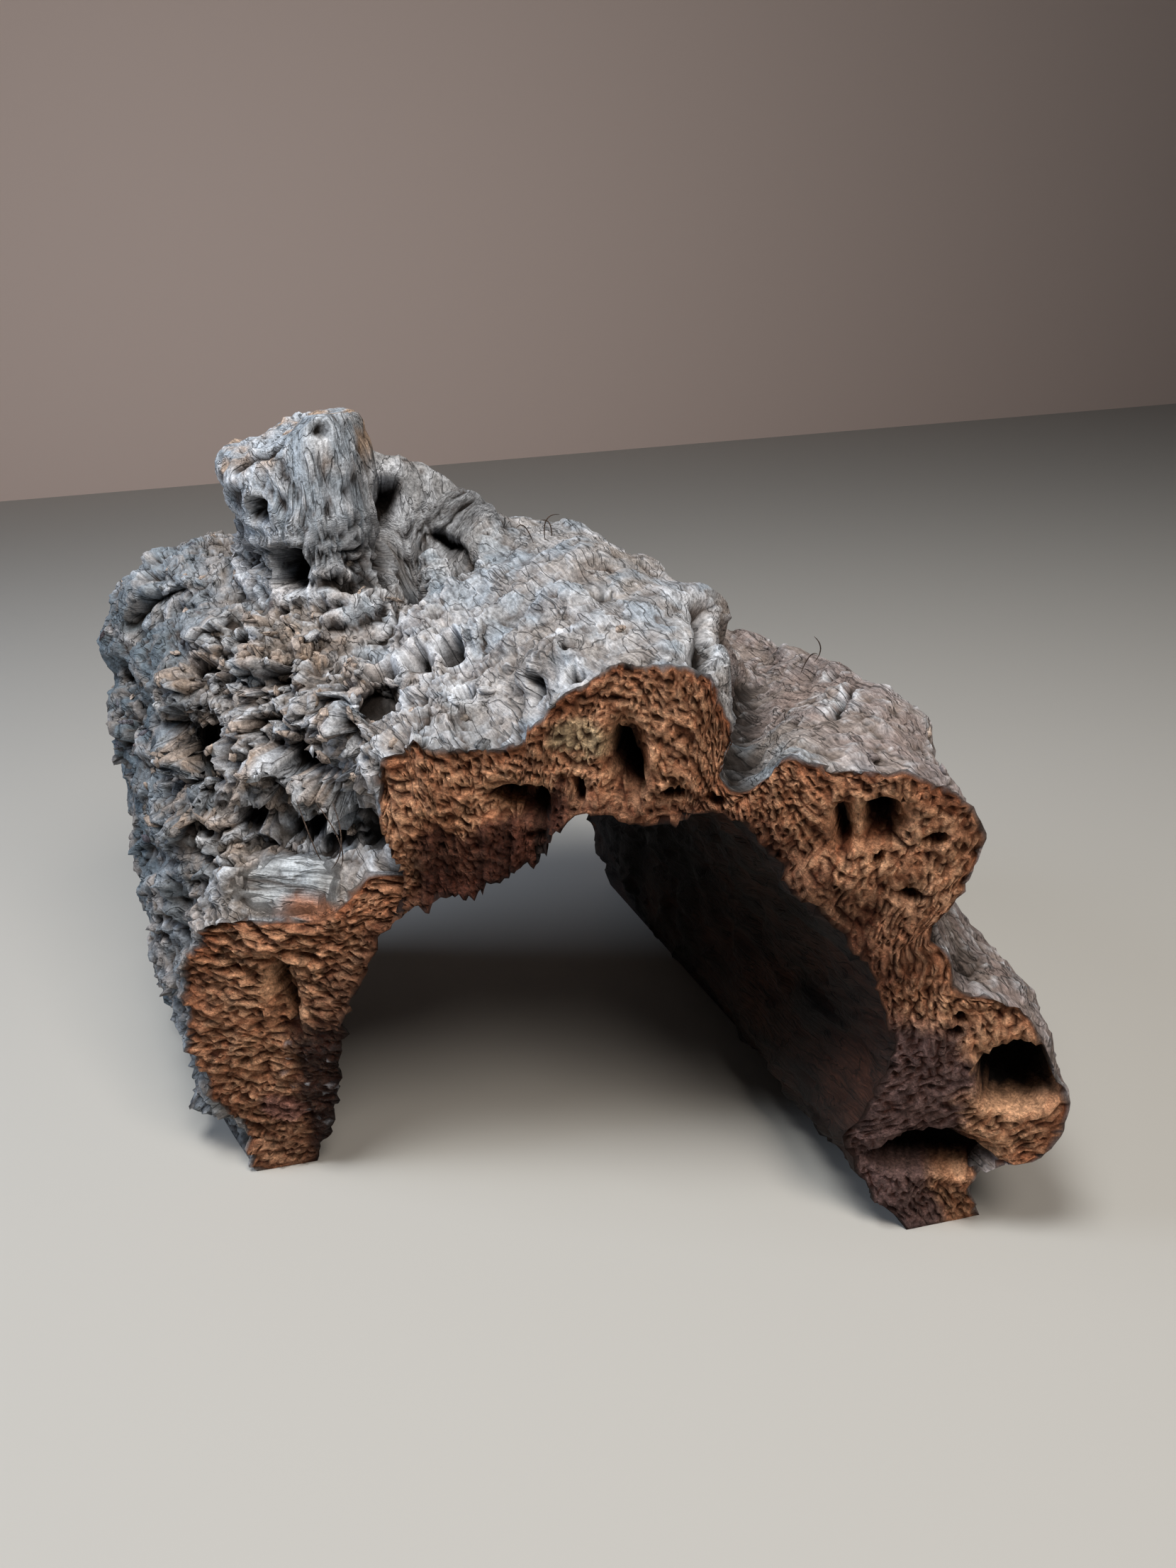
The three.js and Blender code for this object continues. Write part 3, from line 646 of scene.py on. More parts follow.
# Fine relief of the skin: flaked layers, crags and leaning blocks where it is broken, long fibres and shallow
# layers where it is calm, upright folds on the stump, folds round its foot, strips on the plate, cracks, pits
# and the drawn furrows and holes.
def skinDetail(p, stump):
    pattern, high = skinPatterns, skinRises
    rough = brokenness(p)
    calm = 1 - rough
    q = wander(wander(p, 26, 6), 9, 2.4)
    g = skinGrain(q, stump)
    onStump = fade(stump / 25)
    chunky = rough * (0.6 + 0.65 * rising(noise(p, *pattern["chunky"]), -0.35, 0.7))
    layers = terraces(fractal(g, *pattern["layers"]) + 0.3 * noise(q, *pattern["slow"]), 3.4)
    rise = (high["layers"] - 0.5 * onStump + high["brokenLayers"] * chunky) * layers
    rise += (high["crags"] + high["brokenCrags"] * chunky) * crags(g, *pattern["crags"])
    height, out = blocks(q, *pattern["chunks"])
    gaping = rising(noise(q, *pattern["gaping"]), -0.05, 0.25)
    rise += high["chunks"] * chunky * height - high["gaps"] * chunky * gaping * (1 - out)
    height, out = blocks(q, *pattern["crumbs"])
    rise += high["crumbs"] * chunky * height - high["crumbGaps"] * chunky * (1 - out)
    rise -= high["bigPits"] * chunky * pits(q, *pattern["bigPits"])
    rise -= high["smallPits"] * (0.3 + rough) * pits(q, *pattern["smallPits"])
    onRoof = rising(p[..., 2], 222, 12)
    rise -= high["roofPits"] * onRoof * falling(p[..., 0], 95, 30) * pits(q, *pattern["roofPits"])
    rise -= high["flaked"] * (0.2 + calm) * flaked(p) * (1 - 0.7 * onStump)
    fibres = high["fibres"] * fractal(g, *pattern["fibres"]) + high["waves"] * noise(g, *pattern["waves"])
    rise += fibres * (0.3 + 0.7 * calm)
    folds = high["folds"] * ridges(g, *pattern["folds"])
    folds += high["fineFolds"] * ridges(g, *pattern["fineFolds"])
    rise += onStump * folds
    off = np.hypot(p[..., 0] - eye["x"], p[..., 2] - eye["z"])
    inEye = eye["rise"] * onStump * falling(p[..., 1], 100, 12)
    rise += inEye * np.cos(off * eye["rings"]) * np.exp(-(off / eye["width"]) ** 2)
    rise += high["rings"] * zone(p, *skinZones["stumpFoot"]) * ridges(stumpRings(q), *pattern["rings"])
    cracked = rising(noise(q, *pattern["cracked"]), -0.1, 0.2)
    rise -= (high["cracks"] + high["brokenCracks"] * chunky) * cracks(g, *pattern["cracks"]) * cracked
    plate = zone(p, *skinZones["plate"])
    places = platePlaces(wander(p, *stripWander))
    strips = high["strips"] * noise(places, *pattern["strips"])
    strips += high["stripLayers"] * terraces(noise(places, *pattern["stripLayers"]), 3)
    rise = rise * (1 - 0.8 * plate) + plate * strips
    lines = wander(p, *lineWander)
    for first, last, width, path in skinFurrows:
        rise += strokeRise(lines, first, last, width, path)
    for depth, away in holesAround(p):
        rise -= depth * falling(away, 1.15, 0.45)
    return rise, rough


# Each hole's depth, and how far points are from its middle, 1 at its edge.
def holesAround(p):
    q = wander(p, *holeWander)
    for place, reach, depth in skinHoles:
        yield depth, (((q - place) / np.array(reach)) ** 4).sum(-1) ** 0.25


# The way the relief pushes the skin: out, and where it is broken a little downhill and forwards, so that
# chunks hang over the crevices below them.
def reliefWay(normals, rough):
    down = normals * normals[..., 2:] - np.array([0, 0, 1])
    return normals + rough[..., None] * (0.4 * down + np.array([-0.1, -0.18, 0]))


# Hollows of the sawn front: how far along the cut, how high, half width, half height, depth.
frontHollows = [
    (187, 225, 9, 20, 16),  # slot in the crest
    (137, 205, 11, 9, 10),  # left twin
    (150, 204, 10, 9, 10),  # right twin
    (289, 203, 10, 11, 15),  # right shoulder hollow
    (273, 200, 5, 14, 9),  # right shoulder slot
    (354, 88, 19, 16, 20),  # leg hollow
    (27, 104, 8, 26, 9),  # hollow of the left leg
    (322, 44, 27, 11, 15),  # undercut above the right foot
]
# Sharp holes in them and beside them: along the cut, height, half width, half height, lean, depth.
frontHoles = [
    (187, 222, 4.5, 13, -0.35, 22),
    (168, 214, 2.6, 6, -0.2, 9),
    (136, 205, 6, 3.2, -0.3, 14),
    (150, 205, 4, 4.5, 0.0, 12),
    (289, 206, 7, 5.5, 0.2, 16),
    (273, 200, 2.6, 8, -0.25, 7),
    (289, 187, 2.6, 2.6, 0, 9),
    (302, 171, 6, 2.4, -0.5, 9),
    (309, 197, 5, 2.4, 0.4, 8),
    (326, 115, 3, 3, 0, 6),
    (323, 109, 3.5, 2.5, 0, 6),
    (-1, 142, 3, 3, 0, 7),
    (27, 108, 3.2, 20, -0.2, 16),
    (352, 86, 19, 16, 0.1, 16),
    (324, 38, 31, 8, 0.15, 20),
    (206, 210, 6, 2.5, 0, 7),
    (222, 210, 4, 3, 0, 7),
    (150, 190, 5, 2.5, 0, 4),
]
# Zones of the front: place along the cut and height, reach, softness.
frontZones = {
    "redShoulder": ((292, 150, 0), (34, 40, 1), 0.6),
    "cream": ((168, 232, 0), (15, 13, 1), 0.4),
    "pink": ((16, 38, 0), (14, 10, 1), 0.4),
    "legHollowShade": ((353, 80, 0), (32, 32, 1), 0.3),
    "rightFlecks": ((352, 84, 0), (20, 14, 1), 0.4),
    "leftFlecks": ((34, 60, 0), (18, 40, 1), 0.4),
}
faceStart = np.array([-130.0, -25, 0])
faceAlong = np.array([0.868, -0.496, 0])
faceOut = np.array([-0.496, -0.868, 0])
rearOut = np.array([0.0, 1, 0])


def alongFace(p):
    return (p - faceStart) @ faceAlong


# Places on the front as points: how far along the cut, how high, and a third value.
def facePlaces(u, z, third):
    return np.stack([u, z, third], -1)


# Places along the layers of the cork on the front: y runs along them. They lie level on the left and in the
# middle, and dip to the right on the right shoulder and leg.
def frontGrain(p):
    u, z = alongFace(p), p[..., 2]
    dip = 0.15 + 0.6 * rising(u, 205, 60) + 0.25 * falling(z, 150, 60) * rising(u, 240, 40)
    along = u * np.cos(dip) - z * np.sin(dip)
    across = u * np.sin(dip) + z * np.cos(dip)
    return np.stack([across, along, p @ faceOut], -1)


def frontRise(p):
    u, z = alongFace(p), p[..., 2]
    rise = lumps(p, frontLumps)
    for place, height, reachU, reachZ, depth in frontHollows:
        rise -= depth * fade(1.25 - np.hypot((u - place) / reachU, (z - height) / reachZ))
    return rise * footFade(p)


# Where the inner edge is combed into upright fibres, under the left of the arch.
def combZone(u, z):
    return rising(u, 88, 14) * falling(u, 168, 10) * rising(z, 145, 12)


# Patterns of the front, as their functions take them: size in mm, the function's own settings, shift.
frontPatterns = {
    "scales": (3.6, 0.9, 1.3),
    "bigScales": (10, 0.8, 7.1),
    "swells": ((22, 30, 22), 4, 5.2),
    "crumbs": ((4, 6, 5), 2, 1.7),
    "cracks": ((10, 60, 30), 0.03, 6.4),
    "cracked": (24, 2.6),
    "ledges": (8.5, 0.7, 2.9),
    "slabs": (24, 0.5, 5.9),
    "comb": ((2.8, 34, 40),),
}
# How far each of them rises or sinks, in mm.
frontRises = {
    "scales": 2.4, "bigScales": 1.6, "base": 2.0, "swells": 2.4, "crumbs": 1.6, "cracks": 1.8, "ledges": 5.0,
    "slabs": 3.5, "comb": 2.4,
}


# Fine relief of the sawn front: ragged scales along the layers in two sizes, ledges at the top of the left
# leg, furrows between layers, combed fibres and holes.
def frontDetail(p, edge, through):
    pattern, high = frontPatterns, frontRises
    u, z = alongFace(p), p[..., 2]
    q = wander(wander(p, 20, 4), 6, 1.2)
    g = frontGrain(q)
    rise = high["scales"] * scales(g, *pattern["scales"])
    rise += high["bigScales"] * scales(g, *pattern["bigScales"])
    rise -= high["base"]
    rise += high["swells"] * fractal(g, *pattern["swells"]) + high["crumbs"] * fractal(g, *pattern["crumbs"])
    rise -= high["cracks"] * cracks(g, *pattern["cracks"]) * rising(noise(q, *pattern["cracked"]), -0.1, 0.2)
    leg = falling(np.abs(u - 24), 34, 14)
    ledges = leg * rising(z, 108, 8) * falling(z, 150, 8)
    rise += ledges * high["ledges"] * (scales(g, *pattern["ledges"]) - 0.5)
    slabs = leg * rising(z, 20, 8) * falling(z, 104, 8)
    rise += slabs * high["slabs"] * (scales(g, *pattern["slabs"]) - 0.5)
    comb = high["comb"] * combZone(u, z) * rising(through, 0.5, 0.1)
    rise += comb * noise(facePlaces(u, z, z), *pattern["comb"])
    for place, height, reachU, reachZ, lean, depth in frontHoles:
        du, dz = alongFace(q) - place, q[..., 2] - height
        rise -= depth * falling(np.hypot((du - lean * dz) / reachU, dz / reachZ), 1.1, 0.4)
    return rise * fade(edge / 2.5) * soleFade(p)


# Patterns of the rear and of the hollow, and how far each rises or sinks, in mm.
rearRelief = {
    "blocks": ((12, 12, 6), 0.9, 0.2), "blockRise": 5.0, "gapDepth": 1.6,
    "crumbs": ((5, 5, 3.2), 0.9, 0.3, 2.2), "crumbRise": 2.0, "gritSize": 2.4, "gritRise": 0.7,
}
hollowRelief = {
    "blocks": ((12, 26, 12), 0.5, 0.15), "blockRise": 2.2, "ridgeSize": (15, 38, 15), "ridgeRise": 2.4,
    "fibreSize": (3.4, 20, 3.4), "fibreRise": 0.9, "cracks": ((18, 44, 18), 0.06), "crackDepth": 2.2,
}


# The broken rear: leaning blocks in two sizes and grit, over slow lumps.
def rearDetail(p, edge, through):
    relief = rearRelief
    q = wander(wander(p, 16, 4), 6, 1.3)
    height, out = blocks(q, *relief["blocks"])
    rise = relief["blockRise"] * height - relief["gapDepth"] * (1 - out)
    crumbs = blocks(q, *relief["crumbs"])[0]
    rise += relief["crumbRise"] * crumbs + relief["gritRise"] * noise(q, relief["gritSize"])
    return lumps(p, rearLumps) * footFade(p) + rise * fade(edge / 3.0) * soleFade(p)


# Inner bark: long ridges, low blocks, fibres and fissures.
def hollowDetail(p):
    relief = hollowRelief
    q = wander(p, 20, 5)
    rise = relief["blockRise"] * blocks(q, *relief["blocks"])[0]
    rise += relief["ridgeRise"] * ridges(q, relief["ridgeSize"])
    rise += relief["fibreRise"] * noise(q, relief["fibreSize"])
    rise -= relief["crackDepth"] * cracks(q, *relief["cracks"])
    return rise * footFade(p)


# The comb's teeth hang from the hollow's front edge: size and length of the fine and the wide ones, their
# mean length, and how far back they go, as a share of the tunnel.
teeth = {"fine": (3.2, 60, 60), "fineReach": 5, "wide": (13, 90, 90), "wideReach": 6, "mean": 5, "back": 0.05}


# The mean of each value and its neighbours within a few steps of the grid.
def smoothed(h, steps):
    for _ in range(steps):
        g = np.pad(h, [(1, 1), (1, 1)] + [(0, 0)] * (h.ndim - 2), mode="edge")
        h = (g[:-2, 1:-1] + g[2:, 1:-1] + g[1:-1, :-2] + g[1:-1, 2:] + 4 * h) / 8
    return h


# How far a surface stands out of its own smoothed shape, in mm; below 0 in hollows.
def standing(p, steps):
    return ((p - smoothed(p, steps)) * gridNormals(smoothed(p, 6))).sum(-1)


# Hex colours of the skin and the wood, as weathered virgin cork has them; the darkest also serve as painted
# shade in dips, holes and the hollow, and the pale ones as painted highlight on raised tips.
tones = {
    "silver": "#cbcfd5", "blueSilver": "#a2afbc", "cool": "#88939d", "slate": "#66727b", "warm": "#8a8179",
    "brown": "#4d3f36", "crevice": "#1b1613", "mauve": "#8d7e79", "crumb": "#b2967c", "plate": "#b0b5b8",
    "cutPale": "#e6b28b", "cutMid": "#b57a59", "cutDark": "#401e12", "cutRust": "#985433",
    "innerBand": "#4c2a21", "innerGrey": "#6a5452", "gloss": "#2a150e", "cream": "#dcc39c", "pink": "#b07d74",
    "hollowDarkAndShade": "#130c09", "hollowBrown": "#3c2218",
}
tone = {name: linear(code) for name, code in tones.items()}


# A colour moved towards others, one after another, by shares that differ from point to point.
def painted(colour, coats):
    for other, share in coats:
        colour = colour + (tone[other] - colour) * np.clip(share, 0, 1)[..., None]
    return colour


# Patterns of the skin's colour: size in mm, number of sizes where there are several, shift.
skinTints = {
    "slow": (60, 3.3),
    "mid": ((16, 26, 16), 3, 8.8),
    "small": ((5, 7, 5), 4.9),
    "warm": (34, 2.2),
    "mottle": ((8, 14, 8), 3, 2.7),
    "mottled": (36, 8.2),
    "brown": (24, 7.4),
    "tips": (11, 5.1),
    "stumpTips": (15, 1.4),
    "lip": ((3.2, 22, 1), 7.7),
    "darkStrips": ((2.8, 15, 1), 3.1),
    "streaks": ((3.2, 34, 3.2), 2, 2.4),
    "specks": (2.5, 6.6),
}


# Weathered skin: cool and warm greys in patches, silver on the roof, silver on raised tips as a painted
# highlight, brown to black in the depths, holes and the cave as painted shade, bluish on the stump, mauve on
# the right lobe, tan crumbs where it is broken, a silvery plate on the left leg with torn cork under its
# edge. Fine streaks along the grain vary it all.
def skinColour(p, g, fine, height, depth, rough, stump):
    x, y, z = p[..., 0], p[..., 1], p[..., 2]
    tint = skinTints
    slow, mid, small = noise(p, *tint["slow"]), fractal(p, *tint["mid"]), noise(p, *tint["small"])
    onStump = fade(stump / 20)
    offStump = 1 - onStump
    warm = rising(noise(p, *tint["warm"]) + 0.6 * mid + 0.25 + 0.3 * rough - 0.35 * onStump, 0, 0.6)
    blue = onStump * falling(x, -26, 14) + falling(x, -92, 25) * rising(z, 225, 20) * rising(y, 60, 40)
    mauve = 0.85 * rising(x, 100, 25) + 0.3 * rising(x, 50, 60) * rising(mid, -0.2, 0.4)
    roof = rising(x, -75, 50) * falling(x, 112, 30) * rising(z, 215, 20) * offStump
    mottle = rising(fractal(wander(p, 9, 2), *tint["mottle"]), 0.1, 0.16)
    mottle = mottle * rising(noise(p, *tint["mottled"]), -0.35, 0.4)
    left = 0.6 * falling(x, -112, 20) * rising(y, -30, 30) * falling(z, 262, 30)
    left = left + 0.6 * falling(x, -92, 20) * rising(y, 60, 30)
    tips = rising(noise(p, *tint["tips"]), -0.02, 0.2) * rising(height, -0.1, 0.5)
    plate = zone(p, *skinZones["plate"])
    places = platePlaces(wander(p, *stripWander))
    lip = zone(p, *skinZones["lip"]) * rising(noise(places, *tint["lip"]), -0.2, 0.15)
    colour = painted(np.broadcast_to(tone["cool"], p.shape), [
        ("warm", warm),
        ("blueSilver", 0.85 * blue * rising(mid, -0.6, 0.5)),
        ("mauve", mauve),
        ("silver", 0.02 + 0.28 * roof + 0.2 * onStump + 0.2 * slow + 0.3 * mid),
        ("brown", 0.5 * rough * rising(noise(p, *tint["brown"]), -0.1, 0.35)),
        ("brown", 0.3 * falling(x, -130, 20) * rising(mid, -0.2, 0.5)),
        ("warm", 0.45 * flaked(p) * offStump + 0.5 * onStump * rising(x, -30, 12)),
        ("brown", 0.5 * roof * mottle * (1 - 0.5 * rising(x, 30, 30))),
        # Painted highlight: silver where the relief stands up.
        ("silver", 0.75 * rising(height, 0.1, 0.9) * rising(small, -0.5, 0.6) + 0.35 * fade(fine / 0.8)),
        ("slate", left * falling(mid, 0.75, 0.6)),
        ("crumb", 0.6 * rough * tips),
        ("crumb", 0.8 * onStump * rising(z, 318, 12) * rising(noise(p, *tint["stumpTips"]), -0.02, 0.15)),
        ("crumb", 0.8 * zone(p, *skinZones["hornTip"]) * rising(mid, -0.3, 0.3)),
        ("plate", 0.85 * plate),
        ("crevice", 0.9 * plate * rising(noise(places, *tint["darkStrips"]), 0.2, 0.12)),
        # Painted shade: brown, then near black, where the relief dips at a middle and a small size, and deep
        # in large hollows.
        ("brown", 0.85 * falling(height, -0.12, 0.6)),
        ("crevice", 0.9 * falling(height, -0.45, 0.8) + 0.6 * falling(fine, -0.35, 0.7)),
        ("crevice", 0.93 * falling(depth, -1.5, 5)),
        # Painted shade: near black in the holes.
        *[("crevice", 0.88 * falling(away, 1.05, 0.35)) for _, away in holesAround(p)],
        ("cutMid", 0.95 * lip),
        # Painted shade: near black in the cave over the left leg.
        ("crevice", 0.8 * zone(p, *skinZones["cave"])),
    ])
    streaks = (0.1 + 0.16 * (1 - rough)) * fractal(g, *tint["streaks"])
    return colour * (1 + streaks + 0.1 * noise(p, *tint["specks"]))[..., None]


# The same of the front.
frontTints = {
    "slow": (48, 1.2),
    "mid": (15, 3, 4.7),
    "small": ((3, 5, 4), 3.9),
    "comb": ((2.6, 40, 1), 5.5),
    "flecks": (1.7, 9.1),
    "specks": (2.4, 3.6),
}


# Sawn cork: orange-brown scales with pale tips and dark gaps, painted highlight and painted shade that follow
# the relief, rust under the skin, redder and darker towards the hollow, near black down in the holes and the
# right leg's hollow as painted shade, a cream streak by the crest's slot, grey inside the right leg, a
# resinous edge on the left one, and pale flecks in the hollows.
def cutColour(p, rise, through, edge):
    height = (rise - smoothed(rise, 16)) / 2.0 * fade(edge / 4)
    fine = (rise - smoothed(rise, 4)) / 0.8 * fade(edge / 3)
    u, z = alongFace(p), p[..., 2]
    tint = frontTints
    slow, mid, small = noise(p, *tint["slow"]), fractal(p, *tint["mid"]), noise(frontGrain(p), *tint["small"])
    face = facePlaces(u, z, z * 0)
    # Paler with slow tone noise, and paler where the relief stands up, a painted highlight.
    pale = 0.24 + 0.3 * slow + 0.3 * mid + 0.35 * np.clip(height, -1, 1) + 0.45 * np.clip(fine, -1, 1)
    comb = combZone(u, z)
    grey = rising(u + mid * 8, 262, 14) * falling(z, 118, 16) * falling(u - mid * 10, 338, 12)
    gloss = rising(u - 6 * mid, 22, 8) * falling(z, 100, 16) * falling(u, 90, 10)
    flecked = zone(face, *frontZones["rightFlecks"]) + zone(face, *frontZones["leftFlecks"])
    inside = fade(edge / 6)
    colour = painted(np.broadcast_to(tone["cutMid"], p.shape), [
        ("cutPale", pale + 0.25 * small),
        ("cutRust", 0.3 * falling(through, 0.2, 0.15) + 0.45 * rising(mid, 0.05, 0.3)),
        ("innerBand", 0.6 * rising(through + 0.16 * mid, 0.7, 0.16)),
        ("innerBand", 0.92 * comb * rising(through + 0.08 * mid, 0.52, 0.08)),
        ("innerBand", 0.4 * zone(face, *frontZones["redShoulder"])),
        ("innerBand", 0.4 * falling(u, 60, 20) * falling(z, 70, 50)),
        ("cream", 0.85 * zone(face, *frontZones["cream"]) * rising(mid, -0.35, 0.3)),
        ("pink", 0.75 * zone(face, *frontZones["pink"])),
        ("innerGrey", 0.95 * grey * rising(through, 0.3, 0.2)),
        ("gloss", 0.9 * gloss),
        # Painted shade: darker in the relief's dips, dark to near black down in the holes and in the right
        # leg's hollow.
        ("cutDark", 0.8 * falling(height, -0.15, 0.9) + 0.8 * falling(fine, -0.15, 0.8)),
        ("cutDark", 0.8 * falling(rise, -7, 5) * inside),
        ("crevice", 0.96 * falling(rise, -11, 8) * inside),
        ("crevice", 0.9 * zone(face, *frontZones["legHollowShade"]) * falling(rise, -2, 5)),
    ])
    colour = colour * (1 + comb * rising(through, 0.5, 0.1) * noise(face, *tint["comb"]))[..., None]
    colour = painted(colour, [("silver", 0.7 * (noise(p, *tint["flecks"]) > 0.55) * flecked)])
    return colour * (1 + 0.12 * noise(p, *tint["specks"]))[..., None]


# Inner bark: near black, partly its own dark brown and partly painted shade of the tunnel, with brown patches
# drawn out along the trunk, and browner on its ridges as a painted highlight.
def hollowColour(p, height):
    brown = 0.22 + 0.6 * noise(p, 55, 6.1) + 0.5 * noise(p, (13, 30, 13), 2.9) + 0.25 * height
    colour = painted(np.broadcast_to(tone["hollowDarkAndShade"], p.shape), [("hollowBrown", brown)])
    return colour * (1 + 0.2 * noise(p, 4, 1.1))[..., None]


# How glossy a place is: only the resinous inner edge of the left leg.
def glossAt(p):
    u, y, z = alongFace(p), p[..., 1], p[..., 2]
    return rising(u, 26, 8) * falling(z, 98, 16) * falling(u, 60, 8) * rising(y, -75, 4) * falling(y, -10, 10)


# Relief that would pass the sides of the solid model's box is pressed in softly, over the margin.
boxMargin = {"from": 5, "over": 4.8, "aboveFloor": 10}


def keptInside(p):
    low, high = (np.array(corner) * 1000 + block["zero"] for corner in cadBox)
    middle, half = (low + high) / 2, (high - low) / 2
    away = p - middle
    free, soft = half - boxMargin["from"], boxMargin["over"]
    over = np.abs(away) - free
    q = middle + np.sign(away) * np.where(over > 0, free + soft * np.tanh(over / soft), np.abs(away))
    q[..., 2] = np.where(p[..., 2] < boxMargin["aboveFloor"], np.maximum(0, p[..., 2]), q[..., 2])
    return q


# Places from 0 to 1 for a grid's lines, so that neighbouring lines are about as far apart everywhere, also
# where the surface is steep: equal steps of the mean and the greatest distance between them.
def evenPlaces(points, count):
    steps = np.linalg.norm(np.diff(points, axis=0), axis=-1)
    length = np.cumsum(0.55 * steps.mean(1) + 0.45 * np.quantile(steps, 0.96, axis=1))
    length = np.concatenate([[0], length])
    return np.interp(np.linspace(0, length[-1], count), length, np.linspace(0, 1, len(length)))


# Merges points that lie in the same place, as the soles' ends do with the front and the rear. The others keep
# their order.
def welded(parts):
    first, place = np.unique(parts["points"].round(6), axis=0, return_index=True, return_inverse=True)[1:]
    order = np.argsort(first)
    rank = np.argsort(order)
    faces = rank[place.ravel()][parts["faces"]]
    a, b, c = faces.T
    whole = (a != b) & (b != c) & (a != c)
    merged = {name: parts[name][first[order]] for name in ("points", "tints", "grain")}
    return merged | {"faces": faces[whole], "kinds": parts["kinds"][whole]}


# Four corners of each of a grid's squares.
def corners(ids):
    return ids[:-1, :-1], ids[1:, :-1], ids[1:, 1:], ids[:-1, 1:]


# The whole bark as one closed mesh: skin, hollow, sawn front, broken rear and two feet. Gives the skin's grid
# of points and tints as well, for what stands on it.
def makeBark(settings):
    through = settings["through"]
    draft = skinForm(np.linspace(0, 1, 301), np.linspace(0, 1, 151))[0]
    over = evenPlaces(draft, settings["over"] + 1)
    along = evenPlaces(draft.swapaxes(0, 1), settings["along"] + 1)
    parts = {"points": [], "tints": [], "grain": [], "faces": [], "kinds": []}

    # Keeps a grid of points and gives their numbers.
    def keep(p, tint, grain, extra):
        start = sum(len(q) for q in parts["points"])
        parts["points"].append(p.reshape(-1, 3))
        parts["tints"].append(np.concatenate([tint, extra[..., None]], -1).reshape(-1, 4))
        parts["grain"].append(grain.reshape(-1, 3))
        return start + np.arange(p.shape[0] * p.shape[1]).reshape(p.shape[:2])

    def keepFaces(faces, kind):
        parts["faces"].append(faces)
        parts["kinds"].append(np.full(len(faces), kind))

    # Two triangles for each square of a grid.
    def sheet(ids, kind, inwards):
        a, b, c, d = corners(ids)
        quads = np.stack([a, d, c, b] if inwards else [a, b, c, d], -1).reshape(-1, 4)
        keepFaces(np.concatenate([quads[:, [0, 1, 2]], quads[:, [0, 2, 3]]]), kind)

    form, stump = skinForm(over, along)
    rise, rough = skinDetail(form, stump)
    skin = keptInside(form + reliefWay(gridNormals(form), rough) * (rise * soleFade(form))[..., None])
    # How far the relief stands up at a small, middle and large size; the skin's colour is darker where these
    # are low and lighter where high, painted shade and painted highlight.
    fine = (rise - smoothed(rise, 4)) / (1.1 + 0.6 * rough)
    height = (rise - smoothed(rise, 30)) / (1.5 + 1.4 * rough)
    grain = skinGrain(form, stump)
    skinTint = skinColour(form, grain, fine, height, standing(skin, 200), rough, stump)
    skinIds = keep(skin, skinTint, grain, rough * fade(along / 0.01))
    sheet(skinIds, 0, False)
    print("skin made")

    form = hollowForm(over[::2], along[::2])
    rise = hollowDetail(form)
    hollow = form + gridNormals(form) * rise[..., None]
    u, z = alongFace(form), form[..., 2]
    places = facePlaces(u, z, z)
    longer = teeth["fineReach"] * noise(places, teeth["fine"])
    longer += teeth["wideReach"] * noise(places, teeth["wide"], 2.0)
    atFront = combZone(u, z) * fade(1 - along[::2] / teeth["back"])
    hollow[..., 2] -= atFront * np.maximum(0, teeth["mean"] + longer)
    hollow = keptInside(hollow)
    hollowIds = keep(hollow, hollowColour(form, (rise - smoothed(rise, 10)) / 2), form, 0 * rise)
    sheet(hollowIds, 2, True)
    print("hollow made")

    # Rows from an edge of the skin to the same edge of the hollow, which has half as many points.
    def rim(outer, inner, outerIds, innerIds, turned, riseAt, out):
        wide = np.repeat(inner, 2, axis=0)[:-1].copy()
        wide[1::2] = (inner[:-1] + inner[1:]) / 2
        share = (np.arange(1, through) / through)[:, None, None]
        form = outer[None] + (wide - outer)[None] * share
        edge = np.linalg.norm(wide - outer, axis=-1)[None] * np.minimum(share, 1 - share)[..., 0]
        rise = riseAt(form, edge, share[..., 0])
        rows = keptInside(form + rise[..., None] * out)
        tint = cutColour(rows, rise, share[..., 0], edge)
        ids = np.concatenate([outerIds[None], keep(rows, tint, frontGrain(rows), glossAt(rows))])
        a, b, c, d = corners(ids)
        last = ids[-1]
        faces = np.concatenate([np.stack(corner, -1).reshape(-1, 3) for corner in (
            (a, b, c),
            (a, c, d),
            (last[:-1:2], innerIds[:-1], last[1::2]),
            (last[1::2], innerIds[:-1], innerIds[1:]),
            (last[1::2], innerIds[1:], last[2::2]),
        )])
        keepFaces(faces[:, ::-1] if turned else faces, 1)

    def flat(p, edge, share):
        return np.zeros(p.shape[:-1])

    def front(p, edge, share):
        return frontRise(p) + frontDetail(p, edge, share)

    rim(skin[:, 0], hollow[:, 0], skinIds[:, 0], hollowIds[:, 0], False, front, faceOut)
    rim(skin[:, -1], hollow[:, -1], skinIds[:, -1], hollowIds[:, -1], True, rearDetail, rearOut)
    rim(skin[0], hollow[0], skinIds[0], hollowIds[0], True, flat, rearOut)
    rim(skin[-1], hollow[-1], skinIds[-1], hollowIds[-1], False, flat, rearOut)
    print("front, rear and feet made")
    return welded({name: np.concatenate(rows) for name, rows in parts.items()}), skin, skinTint


